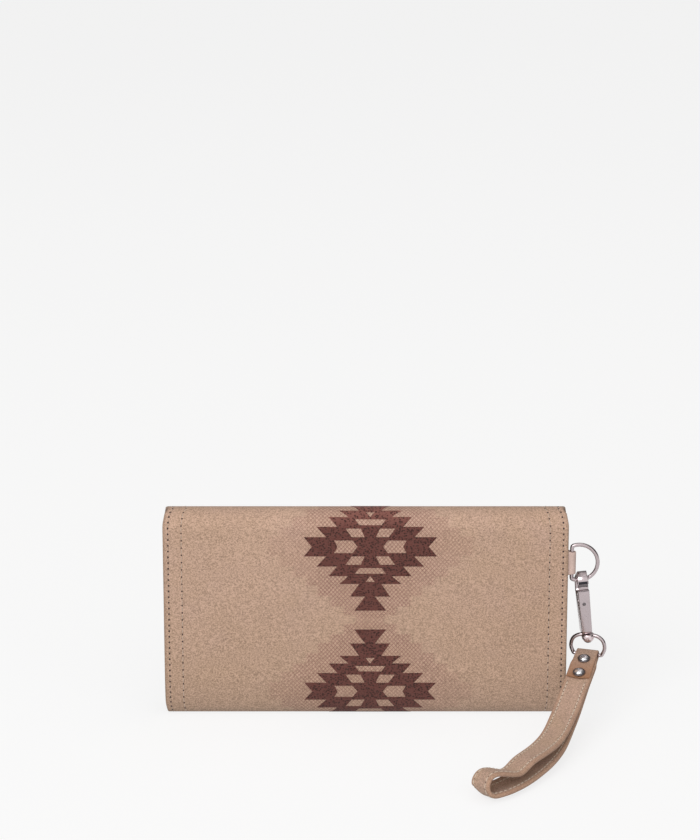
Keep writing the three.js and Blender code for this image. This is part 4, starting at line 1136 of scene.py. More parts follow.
def ribbon(path, side, width, thick, across=13, blunt=0.5):
    """Rings of a strip with rounded edges, and how near each point is to an edge.
    blunt is how thin the strip gets at its two ends."""
    path = np.asarray(path, float)
    count = len(path)
    side = np.broadcast_to(unit(side), (count, 3))
    width = np.broadcast_to(width, count).astype(float)
    thick = np.broadcast_to(thick, count).astype(float)
    forward = unit(np.gradient(path, axis=0))
    normal = unit(np.cross(forward, side))
    rings, edge = [], []
    angles = np.radians([65, 35, 0, -35, -65])
    for i in range(count):
        shrink = blunt if i in (0, count - 1) else 1.0
        half, deep = width[i] / 2, thick[i] / 2 * shrink
        turn = min(thick[i] / 2, half * 0.5)
        flat = np.linspace(half - turn, -half + turn, across)
        bow = turn * np.cos(angles)
        across_x = np.r_[flat, -half + turn - bow, flat[::-1], half - turn + bow[::-1]]
        rise = np.r_[np.full(across, deep), deep * np.sin(angles), np.full(across, -deep),
                     deep * np.sin(angles[::-1])]
        rings.append(path[i] + np.outer(across_x, side[i]) + np.outer(rise, normal[i]))
        near = ease(half - turn - 0.5 * MM, half - turn, np.abs(flat)) * 0.6
        row = np.r_[near, np.ones(5), near, np.ones(5)]
        edge.append(np.ones_like(row) if shrink < 1 else row)
    return np.array(rings), np.array(edge)


# ---------------------------------------------------------------- inside the wallet

def spine_sheet():
    """Lining inside the top roll."""
    outer = ROLL_RADIUS - LEATHER - LINING_STEP - 0.25 * MM
    arc = arc_points((0, ROLL_CENTRE), (outer, outer),
                     176 - math.degrees(LEAN), 4 + math.degrees(LEAN), 40)
    path = np.insert(arc, 0, 0.0, axis=1)
    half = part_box("spine_lining")[1].x
    rings, _ = ribbon(path, (1, 0, 0), 2 * half, CLOTH, across=31)
    piece = rings_piece("spine_cloth", rings, MATERIALS["lining"], 50)
    fasten(piece, "spine", "lining_cloth", "spine_lining")


# How far each layer's outer face lies from its wall's line.
BOARD_OUT, BOARD = 1.7 * MM, 0.6 * MM
BACK_CLOTH_OUT = 2.6 * MM
CARD_OUT, CARD_STEP = 3.4 * MM, 0.8 * MM
PANEL_CLOTH_OUT = -2.2 * MM
FLAP_POCKET_OUT, FLAP_POCKET = -2.8 * MM, 0.4 * MM


def build_back_inside():
    wall = back_wall()
    tab_low, tab_high = (corner.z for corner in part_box("ring_tab"))
    middle = climb(wall, (tab_low + tab_high) / 2)
    notch_half = (tab_high - tab_low) / 2 + 1 * MM
    node_sheet("back_board_panel", "back_board", wall, BOARD_OUT, BOARD,
               "board", "back", "greyboard")
    node_sheet("back_cloth", "back_lining", wall, BACK_CLOTH_OUT, CLOTH, "lining", "back",
               "lining_cloth", notch=(90 * MM, middle - notch_half, middle + notch_half))
    for i in range(3):
        node = f"card_pocket_{i + 1}"
        out = CARD_OUT + CARD_STEP * i
        node_sheet(f"card_pocket_panel_{i + 1}", node, wall, out, CLOTH, "card", "back",
                   "card_leather", hem=0.12 * MM, corner=3 * MM)
        low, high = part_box(node)
        top = climb(wall, high.z) - 3.2 * MM
        wall_stitches(f"card_pocket_hem_{i + 1}", wall, out + 0.52 * MM,
                      [(low.x + 4 * MM, top, high.x - 4 * MM, top)], "back")
    low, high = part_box("card_pocket_3")
    foot, top = climb(wall, low.z) + 2 * MM, climb(wall, high.z) - 6 * MM
    runs = [(x, foot, x, top) for x in (low.x + 2 * MM, -0.5 * MM, high.x - 2 * MM)]
    runs.append((low.x + 4 * MM, foot, high.x - 4 * MM, foot))
    wall_stitches("card_pocket_seams", wall, 5.52 * MM, runs, "back")


def build_front_inside():
    node_sheet("front_cloth", "front_lining", front_wall(), PANEL_CLOTH_OUT, CLOTH, "lining",
               "front_panel", "lining_cloth")
    stud = softened_copy("snap_stud_metal", "snap_stud", 0.12 * MM, MATERIALS["zip"])
    fasten(stud, "front_panel", "zip_metal")


def build_flap_inside():
    wall = flap_wall()
    node_sheet("flap_cloth", "flap_lining", wall, PANEL_CLOTH_OUT, CLOTH, "lining", "flap",
               "lining_cloth", corner=FLAP_CORNER - 2 * MM)
    node_sheet("flap_pocket_panel", "flap_card_pocket", wall, FLAP_POCKET_OUT, FLAP_POCKET,
               "card", "flap", "card_leather", hem=0.1 * MM, corner=2 * MM)
    node_sheet("id_window_sheet", "id_window", wall, FLAP_POCKET_OUT, FLAP_POCKET,
               "vinyl", "flap", "clear_vinyl", sag=0.02 * MM, corner=2 * MM)
    runs = []
    for node in ("flap_card_pocket", "id_window"):
        low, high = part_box(node)
        x0, x1 = low.x + 1.6 * MM, high.x - 1.6 * MM
        foot, top = climb(wall, low.z) + 1.6 * MM, climb(wall, high.z) - 1.6 * MM
        runs += [(x0, foot, x1, foot), (x0, foot, x0, top), (x1, foot, x1, top)]
    wall_stitches("flap_pocket_seams", wall, -2.84 * MM, runs, "flap")
    for node in ("snap_cap", "snap_socket"):
        snap = softened_copy(f"{node}_metal", node, 0.18 * MM, MATERIALS["zip"])
        fasten(snap, "flap", "zip_metal")


def build_gusset(node, side):
    """Accordion side: one pleated strip with rounded creases and turned edges."""
    low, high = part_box(node)
    outer = max(abs(low.x), abs(high.x))
    inner = outer - 9 * MM
    rear, front = low.y + 0.25 * MM, high.y - 0.25 * MM
    coin, peak = 3.45 * MM, 95.7 * MM
    plan = np.array([(outer - 0.2 * MM, rear), (inner, (rear - coin) / 2), (peak, -coin),
                     (peak, coin), (inner, (front + coin) / 2), (outer - 0.2 * MM, front)])
    steps = np.linalg.norm(np.diff(plan, axis=0), axis=1)
    distance = np.r_[0, np.cumsum(steps)]
    along = spread(0, distance[-1], 0.35 * MM)
    line = np.stack([np.interp(along, distance, plan[:, k]) for k in (0, 1)], 1)
    for _ in range(3):
        line[1:-1] = line[1:-1] * 0.5 + (line[:-2] + line[2:]) * 0.25
    across = unit(np.stack([-np.gradient(line[:, 1]), np.gradient(line[:, 0])], 1)) * CLOTH / 2
    loop = np.vstack([line + across, (line - across)[::-1]])
    rings = []
    heights = np.r_[low.z, low.z + 0.2 * MM, spread(low.z + 1 * MM, high.z - 1 * MM, 4 * MM),
                    high.z - 0.2 * MM, high.z]
    for i, height in enumerate(heights):
        pinch = 0.55 if i in (0, len(heights) - 1) else 1.0
        middle = np.vstack([line, line[::-1]])
        ring = middle + (loop - middle) * pinch
        rings.append(np.stack([side * ring[:, 0], ring[:, 1], np.full(len(ring), height)], 1))
    rings = np.array(rings)
    if side * np.cross(loop[1] - loop[0], line[0] - loop[0]) < 0:
        rings = rings[:, ::-1]
    edge = np.zeros(rings.shape[:2])
    edge[[0, -1]] = 1.0
    piece = rings_piece(f"{node}_leather", rings, MATERIALS["card"], 60, {"edge": edge})
    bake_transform(piece)
    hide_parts(node)


def coin_loop(half_x, half_y, z):
    """A flat ring round the coin pocket, with rounded ends."""
    turn = half_y * 0.9
    angles = np.radians(np.linspace(-90, 90, 9))
    right = np.stack([half_x - turn + turn * np.cos(angles), half_y * np.sin(angles)], 1)
    left = -right
    xs = np.linspace(half_x - turn, -half_x + turn, 61)[1:-1]
    sway = 0.05 * MM * np.sin(xs * 90 + z * 50)
    top = np.stack([xs, half_y + sway], 1)
    bottom = np.stack([-xs, sway[::-1] - half_y], 1)
    loop = np.vstack([right, top, left, bottom])
    return np.column_stack([loop, np.full(len(loop), z)])


def build_coin_pocket():
    low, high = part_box("coin_pocket")
    half_x, half_y, wall = high.x, high.y, 0.6 * MM
    lip = high.z - 0.2 * MM
    levels = [(0.5 * MM, low.z), (0.1 * MM, low.z + 0.3 * MM)]
    levels += [(0.0, z) for z in spread(low.z + 0.8 * MM, lip, 3 * MM)]
    levels += [(0.3 * MM, high.z)]
    levels += [(wall, z) for z in spread(lip, low.z + wall, 3 * MM)]
    rings = [coin_loop(half_x - inset, half_y - inset, z) for inset, z in levels]
    pocket = rings_piece("coin_pocket_cloth", rings, MATERIALS["lining"], 50)
    fasten(pocket, "coin_divider", "lining_cloth", "coin_pocket")
    threads = Heap()
    for side in (-1, 1):
        running_stitches(threads, np.arange(-half_x + 4 * MM, half_x - 5 * MM, 2.8 * MM),
                         2 * MM, side * (half_y + 0.02 * MM), low.z + 2.5 * MM, side)
    seam = threads.piece("coin_pocket_seam", MATERIALS["thread"])
    fasten(seam, "coin_divider", "lining_cloth")


def build_zip_tape(node, side):
    """Woven tape folded over the pocket's edge, with a seam in its leg."""
    low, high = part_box(node)
    half_x, level, thick = high.x, high.z, CLOTH
    inner = min(abs(low.y), abs(high.y))
    outer = max(abs(low.y), abs(high.y))
    section = np.array([
        (inner, level - thick * 0.8), (inner + 0.1 * MM, level - thick),
        (outer - thick - 0.2 * MM, level - thick),
        (outer - thick, level - thick - 0.2 * MM), (outer - thick, low.z + 0.1 * MM),
        (outer - thick + 0.1 * MM, low.z), (outer - 0.1 * MM, low.z), (outer, low.z + 0.1 * MM),
        (outer, level - 0.35 * MM), (outer - 0.1 * MM, level - 0.1 * MM),
        (outer - 0.35 * MM, level), (inner + 0.1 * MM, level), (inner, level - thick * 0.2)])
    rings = []
    for x in spread(-half_x, half_x, 1.5 * MM):
        wave = 0.04 * MM * math.sin(x * 300)
        rings.append(np.column_stack(
            [np.full(len(section), x), side * section[:, 0], section[:, 1] + wave]))
    rings = np.array(rings)
    if side < 0:
        rings = rings[:, ::-1]
    tape = rings_piece(f"{node}_cloth", rings, MATERIALS["tape"], 50)
    fasten(tape, "coin_divider", "zip_tape", node)
    threads = Heap()
    running_stitches(threads, np.arange(-half_x + 1 * MM, half_x - 3 * MM, 2.6 * MM),
                     1.9 * MM, side * (outer + 0.02 * MM), low.z + 1.5 * MM, side)
    fasten(threads.piece(f"{node}_seam", MATERIALS["thread"]), "coin_divider", "zip_tape")


TOOTH_PITCH = 1.5 * MM


def build_zip_teeth(node, side):
    """Moulded teeth clamped on the tape's edge, one side half a pitch behind the other."""
    low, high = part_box(node)
    near, far = sorted((abs(low.y), abs(high.y)))
    middle = (low.z + high.z) / 2
    teeth = Heap()
    first = low.x + (0.4 if side > 0 else 1.15) * MM
    sections = [(far + 0.25 * MM, 0.3, 0.42), (far, 0.42, 0.62), (near + 0.1 * MM, 0.4, 0.66),
                (near - 0.12 * MM, 0.36, 0.5), (near - 0.28 * MM, 0.5, 0.5),
                (near - 0.42 * MM, 0.4, 0.3)]
    corner = np.array([(-1, -0.6), (-0.6, -1), (0.6, -1), (1, -0.6),
                       (1, 0.6), (0.6, 1), (-0.6, 1), (-1, 0.6)])
    for x in np.arange(first, high.x - 0.4 * MM, TOOTH_PITCH):
        rings = []
        for y, half_x, half_z in sections:
            loop = corner * (half_x * MM, half_z * MM)
            rings.append(np.column_stack(
                [x + loop[:, 0], np.full(8, side * y), middle + loop[:, 1]]))
        rings = np.array(rings)
        teeth.add_rings(rings if side > 0 else rings[:, ::-1])
    fasten(teeth.piece(f"{node}_metal", MATERIALS["zip"]), "coin_divider", "zip_metal", node)


def build_zip_metal():
    for node, body, width in (
            ("zip_stop_closed", "coin_divider", 0.25), ("zip_stop_open", "coin_divider", 0.25),
            ("zip_slider", "slider", 0.15), ("zip_pull", "pull", 0.22)):
        piece = softened_copy(f"{node}_metal", node, width * MM, MATERIALS["zip"])
        fasten(piece, body, "zip_metal")


# ---------------------------------------------------------------- ring tab, ring and hook

RING_POINT = joint_point("d_ring_hinge")
HOOK_POINT = joint_point("hook_swing")
EYE_POINT = joint_point("strap_hinge")
HOOK_TILT = math.radians(-6)
STRAP_TURN = math.radians(17.8)
RING_RADIUS = 9.25 * MM
RING_WIRE = 1.0 * MM
RING_BAR_OFFSET = 3.55 * MM
TAB_RADIUS = 1.6 * MM
TAB_LEATHER = 0.8 * MM
HOOK_FRONT = -4.2 * MM


def build_ring_tab():
    low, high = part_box("ring_tab")
    middle, width = (low.z + high.z) / 2, high.z - low.z
    bar, root = RING_POINT, low.x
    turn = arc_points((bar[0], bar[1]), (TAB_RADIUS, TAB_RADIUS), -125, 125, 22)
    open_up = ease(0.55, 1, np.linspace(0, 1, 14))
    outer = np.stack([np.linspace(root, turn[0][0], 14),
                      mix(bar[1] - 0.4 * MM, turn[0][1], open_up)], 1)
    inner = outer[::-1] * (1, -1) + (0, 2 * bar[1])
    line = np.vstack([outer[:-1], turn, inner[1:]])
    path = np.column_stack([line, np.full(len(line), middle)])
    narrow = width - 0.9 * MM * ease(root + 9 * MM, bar[0], line[:, 0])
    rings, edge = ribbon(path, (0, 0, -1), narrow, TAB_LEATHER, across=9)
    piece = rings_piece("ring_tab_leather", rings, MATERIALS["tab"], 50, {"edge": edge})
    fasten(piece, "back", "tab_leather", "ring_tab")


def build_ring():
    end = math.acos(-RING_BAR_OFFSET / RING_RADIUS)
    arc = np.linspace(-end, end, 90)
    curve = np.stack([RING_RADIUS * np.cos(arc), RING_RADIUS * np.sin(arc)], 1)
    bar_half = RING_RADIUS * math.sin(end)
    straight = np.stack([np.full(40, -RING_BAR_OFFSET),
                         np.linspace(bar_half, -bar_half, 42)[1:-1]], 1)
    loop = eased_loop(np.vstack([curve, straight]), 4)
    centre_x = RING_POINT[0] + RING_BAR_OFFSET
    path = np.column_stack([centre_x + loop[:, 0], np.full(len(loop), RING_POINT[1]),
                            RING_POINT[2] + loop[:, 1]])
    rings = swept_rings(path, RING_WIRE, 20, closed=True)
    piece = closed_tube("d_ring_wire", rings, MATERIALS["nickel"], 60)
    fasten(piece, "ring", "nickel", "d_ring")


def hook_space(points):
    """Points from the hook's own upright space to the tilted hook."""
    x, y, z = np.moveaxis(np.asarray(points, float), -1, 0)
    c, s = math.cos(HOOK_TILT), math.sin(HOOK_TILT)
    return np.stack([HOOK_POINT[0] + x * c + z * s, HOOK_POINT[1] + y,
                     HOOK_POINT[2] - x * s + z * c], -1)


def shape_casting():
    """The hook's casting, with a slim neck and foot and a slight twist across its depth."""
    body = softened_copy("hook_casting", "hook_body", 0.45 * MM, MATERIALS["nickel"], segments=3)
    mesh = body.data
    points = np.zeros(len(mesh.vertices) * 3)
    mesh.vertices.foreach_get("co", points)
    points = points.reshape(-1, 3) - HOOK_POINT
    c, s = math.cos(HOOK_TILT), math.sin(HOOK_TILT)
    x, z = points[:, 0] * c - points[:, 2] * s, points[:, 0] * s + points[:, 2] * c
    narrow = 1 - 0.16 * ease(-0.5 * MM, 4.4 * MM, z) - 0.12 * ease(-6 * MM, -27 * MM, z)
    skew = 0.13 * (points[:, 1] + 4.2 * MM) * (1 - ease(-1 * MM, 4 * MM, z))
    points = hook_space(np.stack([x * narrow - skew, points[:, 1], z], 1))
    mesh.vertices.foreach_set("co", points.ravel())
    mesh.update()
    return body


def ledge_and_dimple():
    """Dark marks of painted shade: a line for the ledge under the hook's mouth and a dot for the
    dimple below it.
    """
    heap = Heap()
    lip = [(x * MM, HOOK_FRONT + 0.05 * MM, (-4.5 - 0.03 * (6.25 - x * x)) * MM)
           for x in np.linspace(-2.5, 2.5, 9)]
    heap.add_rings(swept_rings(hook_space(lip), 0.22 * MM, 10))
    dimple = [(1.0, -0.2), (0.9, 0.02), (0.7, 0.1), (0.0, 0.1)]
    centre = hook_space((-0.4 * MM, HOOK_FRONT, -11.4 * MM))
    heap.add_rings(turned_rings([(r * MM, h * MM) for r, h in dimple], centre, (0, -1, 0), 20))
    return heap.piece("hook_ledge_and_dimple", MATERIALS["steel"])


def build_hook():
    fasten(shape_casting(), "hook", "nickel")
    fasten(ledge_and_dimple(), "hook", "dark_steel")
    # A dark band painted on the nose's lower face: painted shade.
    fasten(gate_face("hook_nose_band", 0.5, -1.05, -4.68, "shadow"), "hook", "dark_steel")
    # Painted shade in the hook's mouth: the gate leaf and the band above the gate's face take the
    # dark steel; the lower face keeps the nickel.
    gate = softened_copy("hook_gate_leaf", "hook_gate", 0.2 * MM, MATERIALS["steel"])
    for piece in (gate, gate_face("hook_gate_band", -1.4, -2.7, -3.4, "steel"),
                  gate_face("hook_gate_face", -2.75, -4.2, -3.5, "nickel")):
        fasten(piece, "gate", "nickel")
    for node in ("gate_pin", "gate_spring", "swivel_stem"):
        piece = softened_copy(f"{node}_metal", node, 0.08 * MM, MATERIALS["steel"])
        fasten(piece, "hook", "dark_steel")


def gate_face(name, top, bottom, front, material):
    """A plate across the hook's mouth, from top to bottom in millimetres below its bend."""
    heights = np.linspace(top, bottom, 8)
    depths = front + 0.5 + 0.12 * np.sin(np.linspace(0, math.pi, 8))
    path = hook_space(np.column_stack([np.zeros(8), depths, heights]) * MM)
    side = hook_space((1.0, 0, 0)) - hook_space((0.0, 0, 0))
    rings, _ = ribbon(path, -side, 4.9 * MM, 0.8 * MM, across=9, blunt=0.6)
    return rings_piece(name, rings, MATERIALS[material], 50)


def catmull(points, each=60):
    """Centripetal curve through the points."""
    points = np.asarray(points, float)
    padded = np.vstack([2 * points[0] - points[1], points, 2 * points[-1] - points[-2]])
    line = []
    for p0, p1, p2, p3 in zip(padded[:-3], padded[1:-2], padded[2:-1], padded[3:]):
        d0, d1, d2 = (math.sqrt(np.linalg.norm(b - a)) for a, b in ((p0, p1), (p1, p2), (p2, p3)))
        m1 = ((p1 - p0) / d0 - (p2 - p0) / (d0 + d1) + (p2 - p1) / d1) * d1
        m2 = ((p2 - p1) / d1 - (p3 - p1) / (d1 + d2) + (p3 - p2) / d2) * d1
        t = np.linspace(0, 1, each, endpoint=False)[:, None]
        line.append(p1 * (2 * t ** 3 - 3 * t ** 2 + 1) + m1 * (t ** 3 - 2 * t ** 2 + t)
                    + p2 * (3 * t ** 2 - 2 * t ** 3) + m2 * (t ** 3 - t ** 2))
    return np.vstack([*line, points[-1:]])


def eye_space(points):
    """Points from the eye's own upright space to where it hangs, turned with the strap."""
    x, y, z = np.moveaxis(np.asarray(points, float), -1, 0)
    c, s = math.cos(-STRAP_TURN), math.sin(-STRAP_TURN)
    return np.stack([EYE_POINT[0] + x * c - y * s, EYE_POINT[1] + x * s + y * c,
                     EYE_POINT[2] + z], -1)


def build_eye():
    """Wire stirrup with a boss that dips into its opening."""
    wire, half, height, bar_half = 0.95, 8.5, 10.2, 7.1
    side = [(bar_half, 0.0), (half - 0.15, height * 0.28), (half, height * 0.5),
            (half * 0.86, height * 0.8), (half * 0.5, height * 0.985)]
    route = side + [(0.0, height)] + [(-x, z) for x, z in side[::-1]]
    curve = catmull([(x * MM, 0.0, z * MM) for x, z in route], 16)
    bar = np.column_stack([np.linspace(-bar_half, bar_half, 26)[1:-1] * MM,
                           np.zeros(24), np.zeros(24)])
    loop = eased_loop(np.vstack([curve, bar]), 3)
    rings = swept_rings(eye_space(loop), wire * MM, 18, closed=True)
    stirrup = closed_tube("swivel_eye_wire", rings, MATERIALS["nickel"], 50)
    fasten(stirrup, "eye", "nickel", "swivel_eye")
    top = eye_space((0, 0, (height + wire) * MM))
    profile = [(1.25, -4.3), (1.6, -4.3), (2.4, -3.7), (3.0, -2.7), (3.3, -1.5),
               (3.2, -0.6), (2.7, -0.1), (1.25, 0.0), (1.25, -4.3)]
    boss = turned_rings([(r * MM, h * MM) for r, h in profile], top, (0, 0, 1), 40)
    # The boss takes the brighter nickel, a painted highlight.
    cast = rings_piece("swivel_boss", boss, MATERIALS["polished"], 50, caps=(False, False))
    fasten(cast, "eye", "nickel")


# ---------------------------------------------------------------- wrist strap

STRAP_WIDTH = 13 * MM
STRAP_THICK = 2.2 * MM
STRAP_NECK = 11 * MM
TAIL_THICK = 1.2 * MM
TAIL_LENGTH = 22 * MM
LOOP_HEIGHT = 12 * MM
LOOP_MIDDLE = (LOOP_HEIGHT - STRAP_THICK) / 2
PACK_HALF = STRAP_THICK + TAIL_THICK / 2
TAIL_WIDTH = 11.9 * MM
TAIL_LEAD = 4 * MM
TAIL_TURN = 1.85 * MM
RIVET_PLACES = (7.5 * MM, 18.5 * MM)
SEAM_SIDES = (-4.3 * MM, 4.3 * MM)
LINE_START = 6 * MM
STRAP_LEAD = 25 * MM
STRAP_SLOPE = math.asin(0.31)
STRAP_ROLL = math.radians(8)
STRAP_ROUTE = [(-14.6, -51, 14.68), (-22.4, -72, 9.31), (-34.4, -92.5, 7.5),
               (-47.2, -107.5, 7.2), (-58.2, -115.5, 7.4)]


class Strap:
    """The strap's middle line and its own axes."""

    def __init__(self):
        start = EYE_POINT
        aim = np.array([-math.sin(STRAP_TURN) * math.cos(STRAP_SLOPE),
                        -math.cos(STRAP_TURN) * math.cos(STRAP_SLOPE), -math.sin(STRAP_SLOPE)])
        route = [start - aim * LINE_START, start,
                 start + aim * STRAP_LEAD / 2, start + aim * STRAP_LEAD]
        route += [np.array([start[0] + x * MM, y * MM, z * MM]) for x, y, z in STRAP_ROUTE]
        self.line = catmull(route)
        steps = np.linalg.norm(np.diff(self.line, axis=0), axis=1)
        self.distance = np.r_[0, np.cumsum(steps)] - LINE_START
        self.length = self.distance[-1]
        self.forward = unit(np.gradient(self.line, axis=0))
        self.bend = self.length - LOOP_HEIGHT / 2

    def at(self, along, side, up):
        """A point from its distance down the strap, sideways and off its face."""
        along, side, up = np.broadcast_arrays(*(np.asarray(v, float) for v in (along, side, up)))
        centre, _, across, above = self.axes(along)
        return centre + across * side[..., None] + above * up[..., None]

    def axes(self, along):
        along = np.asarray(along, float)
        held = np.clip(along, -LINE_START, self.length)
        centre, forward = (
            np.stack([np.interp(held, self.distance, table[:, k]) for k in range(3)], -1)
            for table in (self.line, self.forward))
        forward = unit(forward)
        centre = centre + forward * (along - held)[..., None]
        flat = unit(np.cross((0.0, 0.0, 1.0), forward))
        above = np.cross(forward, flat)
        roll = STRAP_ROLL * ease(STRAP_LEAD, self.length, along)[..., None]
        across = flat * np.cos(roll) + above * np.sin(roll)
        return centre, forward, across, np.cross(forward, across)

    def cupped(self, along, side, up):
        """The lower run's far edge curls up near the loop's end."""
        near_end = ease(self.bend - 34 * MM, self.bend - 12 * MM, along)
        low = 1 - ease(-4 * MM, 1 * MM, up)
        far = np.clip(-np.asarray(side) / (6.5 * MM), 0, 1.1) ** 2
        return self.at(along, side, up + 3.0 * MM * near_end * low * far)

    def width(self, along):
        return mix(STRAP_NECK, STRAP_WIDTH, ease(3 * MM, 10 * MM, along))

    def run_height(self, along):
        opening = ease(TAIL_LENGTH, self.bend, along)
        return mix(STRAP_THICK / 2, LOOP_MIDDLE, opening)


def band_line(strap):
    """Stations round the loop's middle: (along, up, thickness), upper run first."""
    runs = spread(2.2 * MM, strap.bend, 1.2 * MM)
    heights = strap.run_height(runs)
    pressed = 1 - ease(TAIL_LENGTH, TAIL_LENGTH + 10 * MM, runs)
    heights = mix(heights, 0.8 * MM, pressed)
    thick = mix(STRAP_THICK, 1.56 * MM, pressed)
    near_end = runs - strap.bend
    dip = -3.0 * MM * np.exp(-((near_end + 14 * MM) / (7.5 * MM)) ** 2)
    bulge = 0.5 * MM * np.exp(-((near_end + 1 * MM) / (4 * MM)) ** 2)
    top = heights + (dip + bulge) * (1 - pressed)
    angles = np.radians(np.linspace(90, -90, 26))[1:-1]
    end_top = top[-1]
    round_up = np.where(angles > 0, end_top, LOOP_MIDDLE) * np.sin(angles)
    round_along = strap.bend + (LOOP_MIDDLE + 0.5 * MM) * np.cos(angles)
    along = np.r_[runs, round_along, runs[::-1]]
    up = np.r_[top, round_up, -heights[::-1]]
    return along, up, np.r_[thick, np.full(len(angles), STRAP_THICK), thick[::-1]]


def strap_strip(strap, along, up, thick, width):
    """Rings of a strip that runs along the strap, bent with it."""
    flat = np.stack([along, np.zeros_like(along), up], 1)
    rings, edge = ribbon(flat, (0, 1, 0), width, thick)
    return strap.cupped(rings[..., 0], rings[..., 1], rings[..., 2]), edge


def build_strap():
    strap = Strap()
    along, up, thick = band_line(strap)
    width = strap.width(along) + 0.12 * MM * np.sin(along * 180)
    rings, edge = strap_strip(strap, along, up, thick, width)
    band = rings_piece("strap_band", rings, MATERIALS["strap"], 50, {"edge": edge})
    fasten(band, "strap", "strap_leather", "wrist_strap")
    fold_tail(strap)
    return strap


def fold_tail(strap):
    """The strap's end, folded over the eye's bar, with both its legs against the pack."""
    tail_up = PACK_HALF - TAIL_THICK / 2
    run = spread(TAIL_LENGTH, TAIL_LEAD, 1 * MM)
    lead = spread(TAIL_LEAD, 0, 1 * MM)[1:]
    angles = np.radians(np.linspace(90, 270, 20))[1:-1]
    along = np.r_[run, lead, TAIL_TURN * np.cos(angles), lead[::-1], run[::-1]]
    drop = mix(tail_up, TAIL_TURN, ease(0, 1, 1 - lead / TAIL_LEAD))
    up = np.r_[np.full(len(run), tail_up), drop, TAIL_TURN * np.sin(angles),
               -drop[::-1], np.full(len(run), -tail_up)]
    width = np.minimum(strap.width(along), TAIL_WIDTH)
    flat = np.stack([along, np.zeros_like(along), up], 1)
    rings, edge = ribbon(flat, (0, -1, 0), width, TAIL_THICK)
    curve = ease(15 * MM, TAIL_LENGTH, rings[..., 0]) * 1.3 * MM * (rings[..., 1] / (6 * MM)) ** 2
    rings = strap.at(rings[..., 0] - curve, rings[..., 1], rings[..., 2])
    edge[1:-1] *= 0.35
    tail = rings_piece("strap_tail", rings, MATERIALS["tail"], 50, {"edge": edge})
    fasten(tail, "strap", "strap_leather")


def sew_strap(strap):
    """Two rows of stitches on both faces of the loop."""
    pitch = settings().strap_pitch
    threads, holes = Heap(), Heap()
    along, up, thick = band_line(strap)
    steps = np.hypot(np.diff(along), np.diff(up))
    distance = np.r_[0, np.cumsum(steps)]
    run = np.stack([along, up], 1)
    slope = unit(np.gradient(run, axis=0))
    normal = np.stack([-slope[:, 1], slope[:, 0]], 1)

    tables = (along, up, normal[:, 0], normal[:, 1], thick)

    def place(face, d, side, lift):
        """A point on the outer (1) or inner (-1) face, a distance round the loop."""
        a, u, nx, nz, t = (np.interp(d, distance, table) for table in tables)
        out = face * (t / 2 + lift)
        return strap.cupped(a + nx * out, side, u + nz * out)

    for face, past_tail in ((1, 2.5 * MM), (-1, 14 * MM)):
        start = float(np.interp(TAIL_LENGTH + past_tail, along[:40], distance[:40]))
        for side in SEAM_SIDES:
            for i in range(int((distance[-1] - 2 * start) / pitch)):
                d = start + i * pitch
                up_way = unit(place(face, d, side, 1 * MM) - place(face, d, side, 0))
                ends = (place(face, end, side, -0.08 * MM)
                        for end in (d + 0.35 * MM, d + pitch - 0.35 * MM))
                capsule(threads, *ends, up_way, 0.21 * MM, 0.14 * MM, 6)
                if face > 0:
                    needle(holes, place(face, d, side, 0.0), up_way)
    fasten(threads.piece("strap_thread", MATERIALS["cream"]), "strap", "strap_leather")
    fasten(holes.piece("strap_needle_holes", MATERIALS["needle"]), "strap", "strap_leather")


def needle(heap, centre, out):
    # A dark dot of painted shade for a needle hole.
    dot = [(0.3 * MM, -0.2 * MM), (0.28 * MM, 0.0), (0.15 * MM, 0.03 * MM), (0.0, 0.04 * MM)]
    heap.add_rings(turned_rings(dot, centre, out, 8))


# Rivet outlines: (radius, height over the leather) in millimetres.
RIVET_RIM = [(1.3, -0.1), (2.95, -0.1), (3.1, 0.1), (3.1, 0.4), (2.95, 0.62),
             (2.7, 0.72), (2.45, 0.62), (2.35, 0.45), (1.3, 0.45)]
RIVET_DOME = [(2.36, 0.42), (2.2, 0.85), (1.6, 1.3), (0.75, 1.5), (0.0, 1.52)]


def build_rivets(strap):
    seat = PACK_HALF + 0.15 * MM
    for i, along in enumerate(RIVET_PLACES, 1):
        centre, _, _, above = strap.axes(along)
        rings = turned_rings([(r * MM, seat + h * MM) for r, h in RIVET_RIM], centre, above, 48)
        collar = rings_piece(f"rivet_rim_{i}", rings, MATERIALS["steel"], 45)
        rings = turned_rings([(r * MM, seat + h * MM) for r, h in RIVET_DOME], centre, above, 11)
        jewel = rings_piece(f"rivet_dome_{i}", rings, MATERIALS["bright"], 10)
        post = softened_copy(f"rivet_post_metal_{i}", f"rivet_post_{i}", 0.15 * MM,
                             MATERIALS["steel"])
        fasten(collar, "strap", "nickel", f"rivet_cap_{i}")
        fasten(jewel, "strap", "nickel")
        fasten(post, "strap", "dark_steel")


# ---------------------------------------------------------------- stage

FLOOR_GLOW = 0.775
ROOM_STRENGTH = 1.15
WINDOW_WATTS = 16.0
OVERHEAD_WATTS = 5.0
CAMERA_LENS = 118.9
CAMERA_PLACE = (-0.0077, -1.3047, 0.5299)
CAMERA_DIP = 16.2       # degrees below level


def build_floor():
    """A pale floor that also glows a little, so that it stays even to its far edge."""
    bpy.ops.mesh.primitive_plane_add(size=60, location=(0, 20, -0.0002))
    floor = bpy.context.object
    floor.name = "pale_floor"
    material, n, shader, _ = finish("pale_floor", 0.9)
    where = n.add("ShaderNodeTexCoord").outputs["Object"]
    cloud = n.noise(where, 1.5, 2, 0.5)
    pale = n.blend(cloud, (0.20, 0.20, 0.20, 1), (0.21, 0.21, 0.21, 1))
    n.link(pale, shader.inputs["Base Color"])
    shader.inputs["Specular IOR Level"].default_value = 0.0
    shader.inputs["Emission Color"].default_value = (1, 1, 1, 1)
    shader.inputs["Emission Strength"].default_value = FLOOR_GLOW
    floor.data.materials.append(material)
    floor.visible_diffuse = False
    return floor


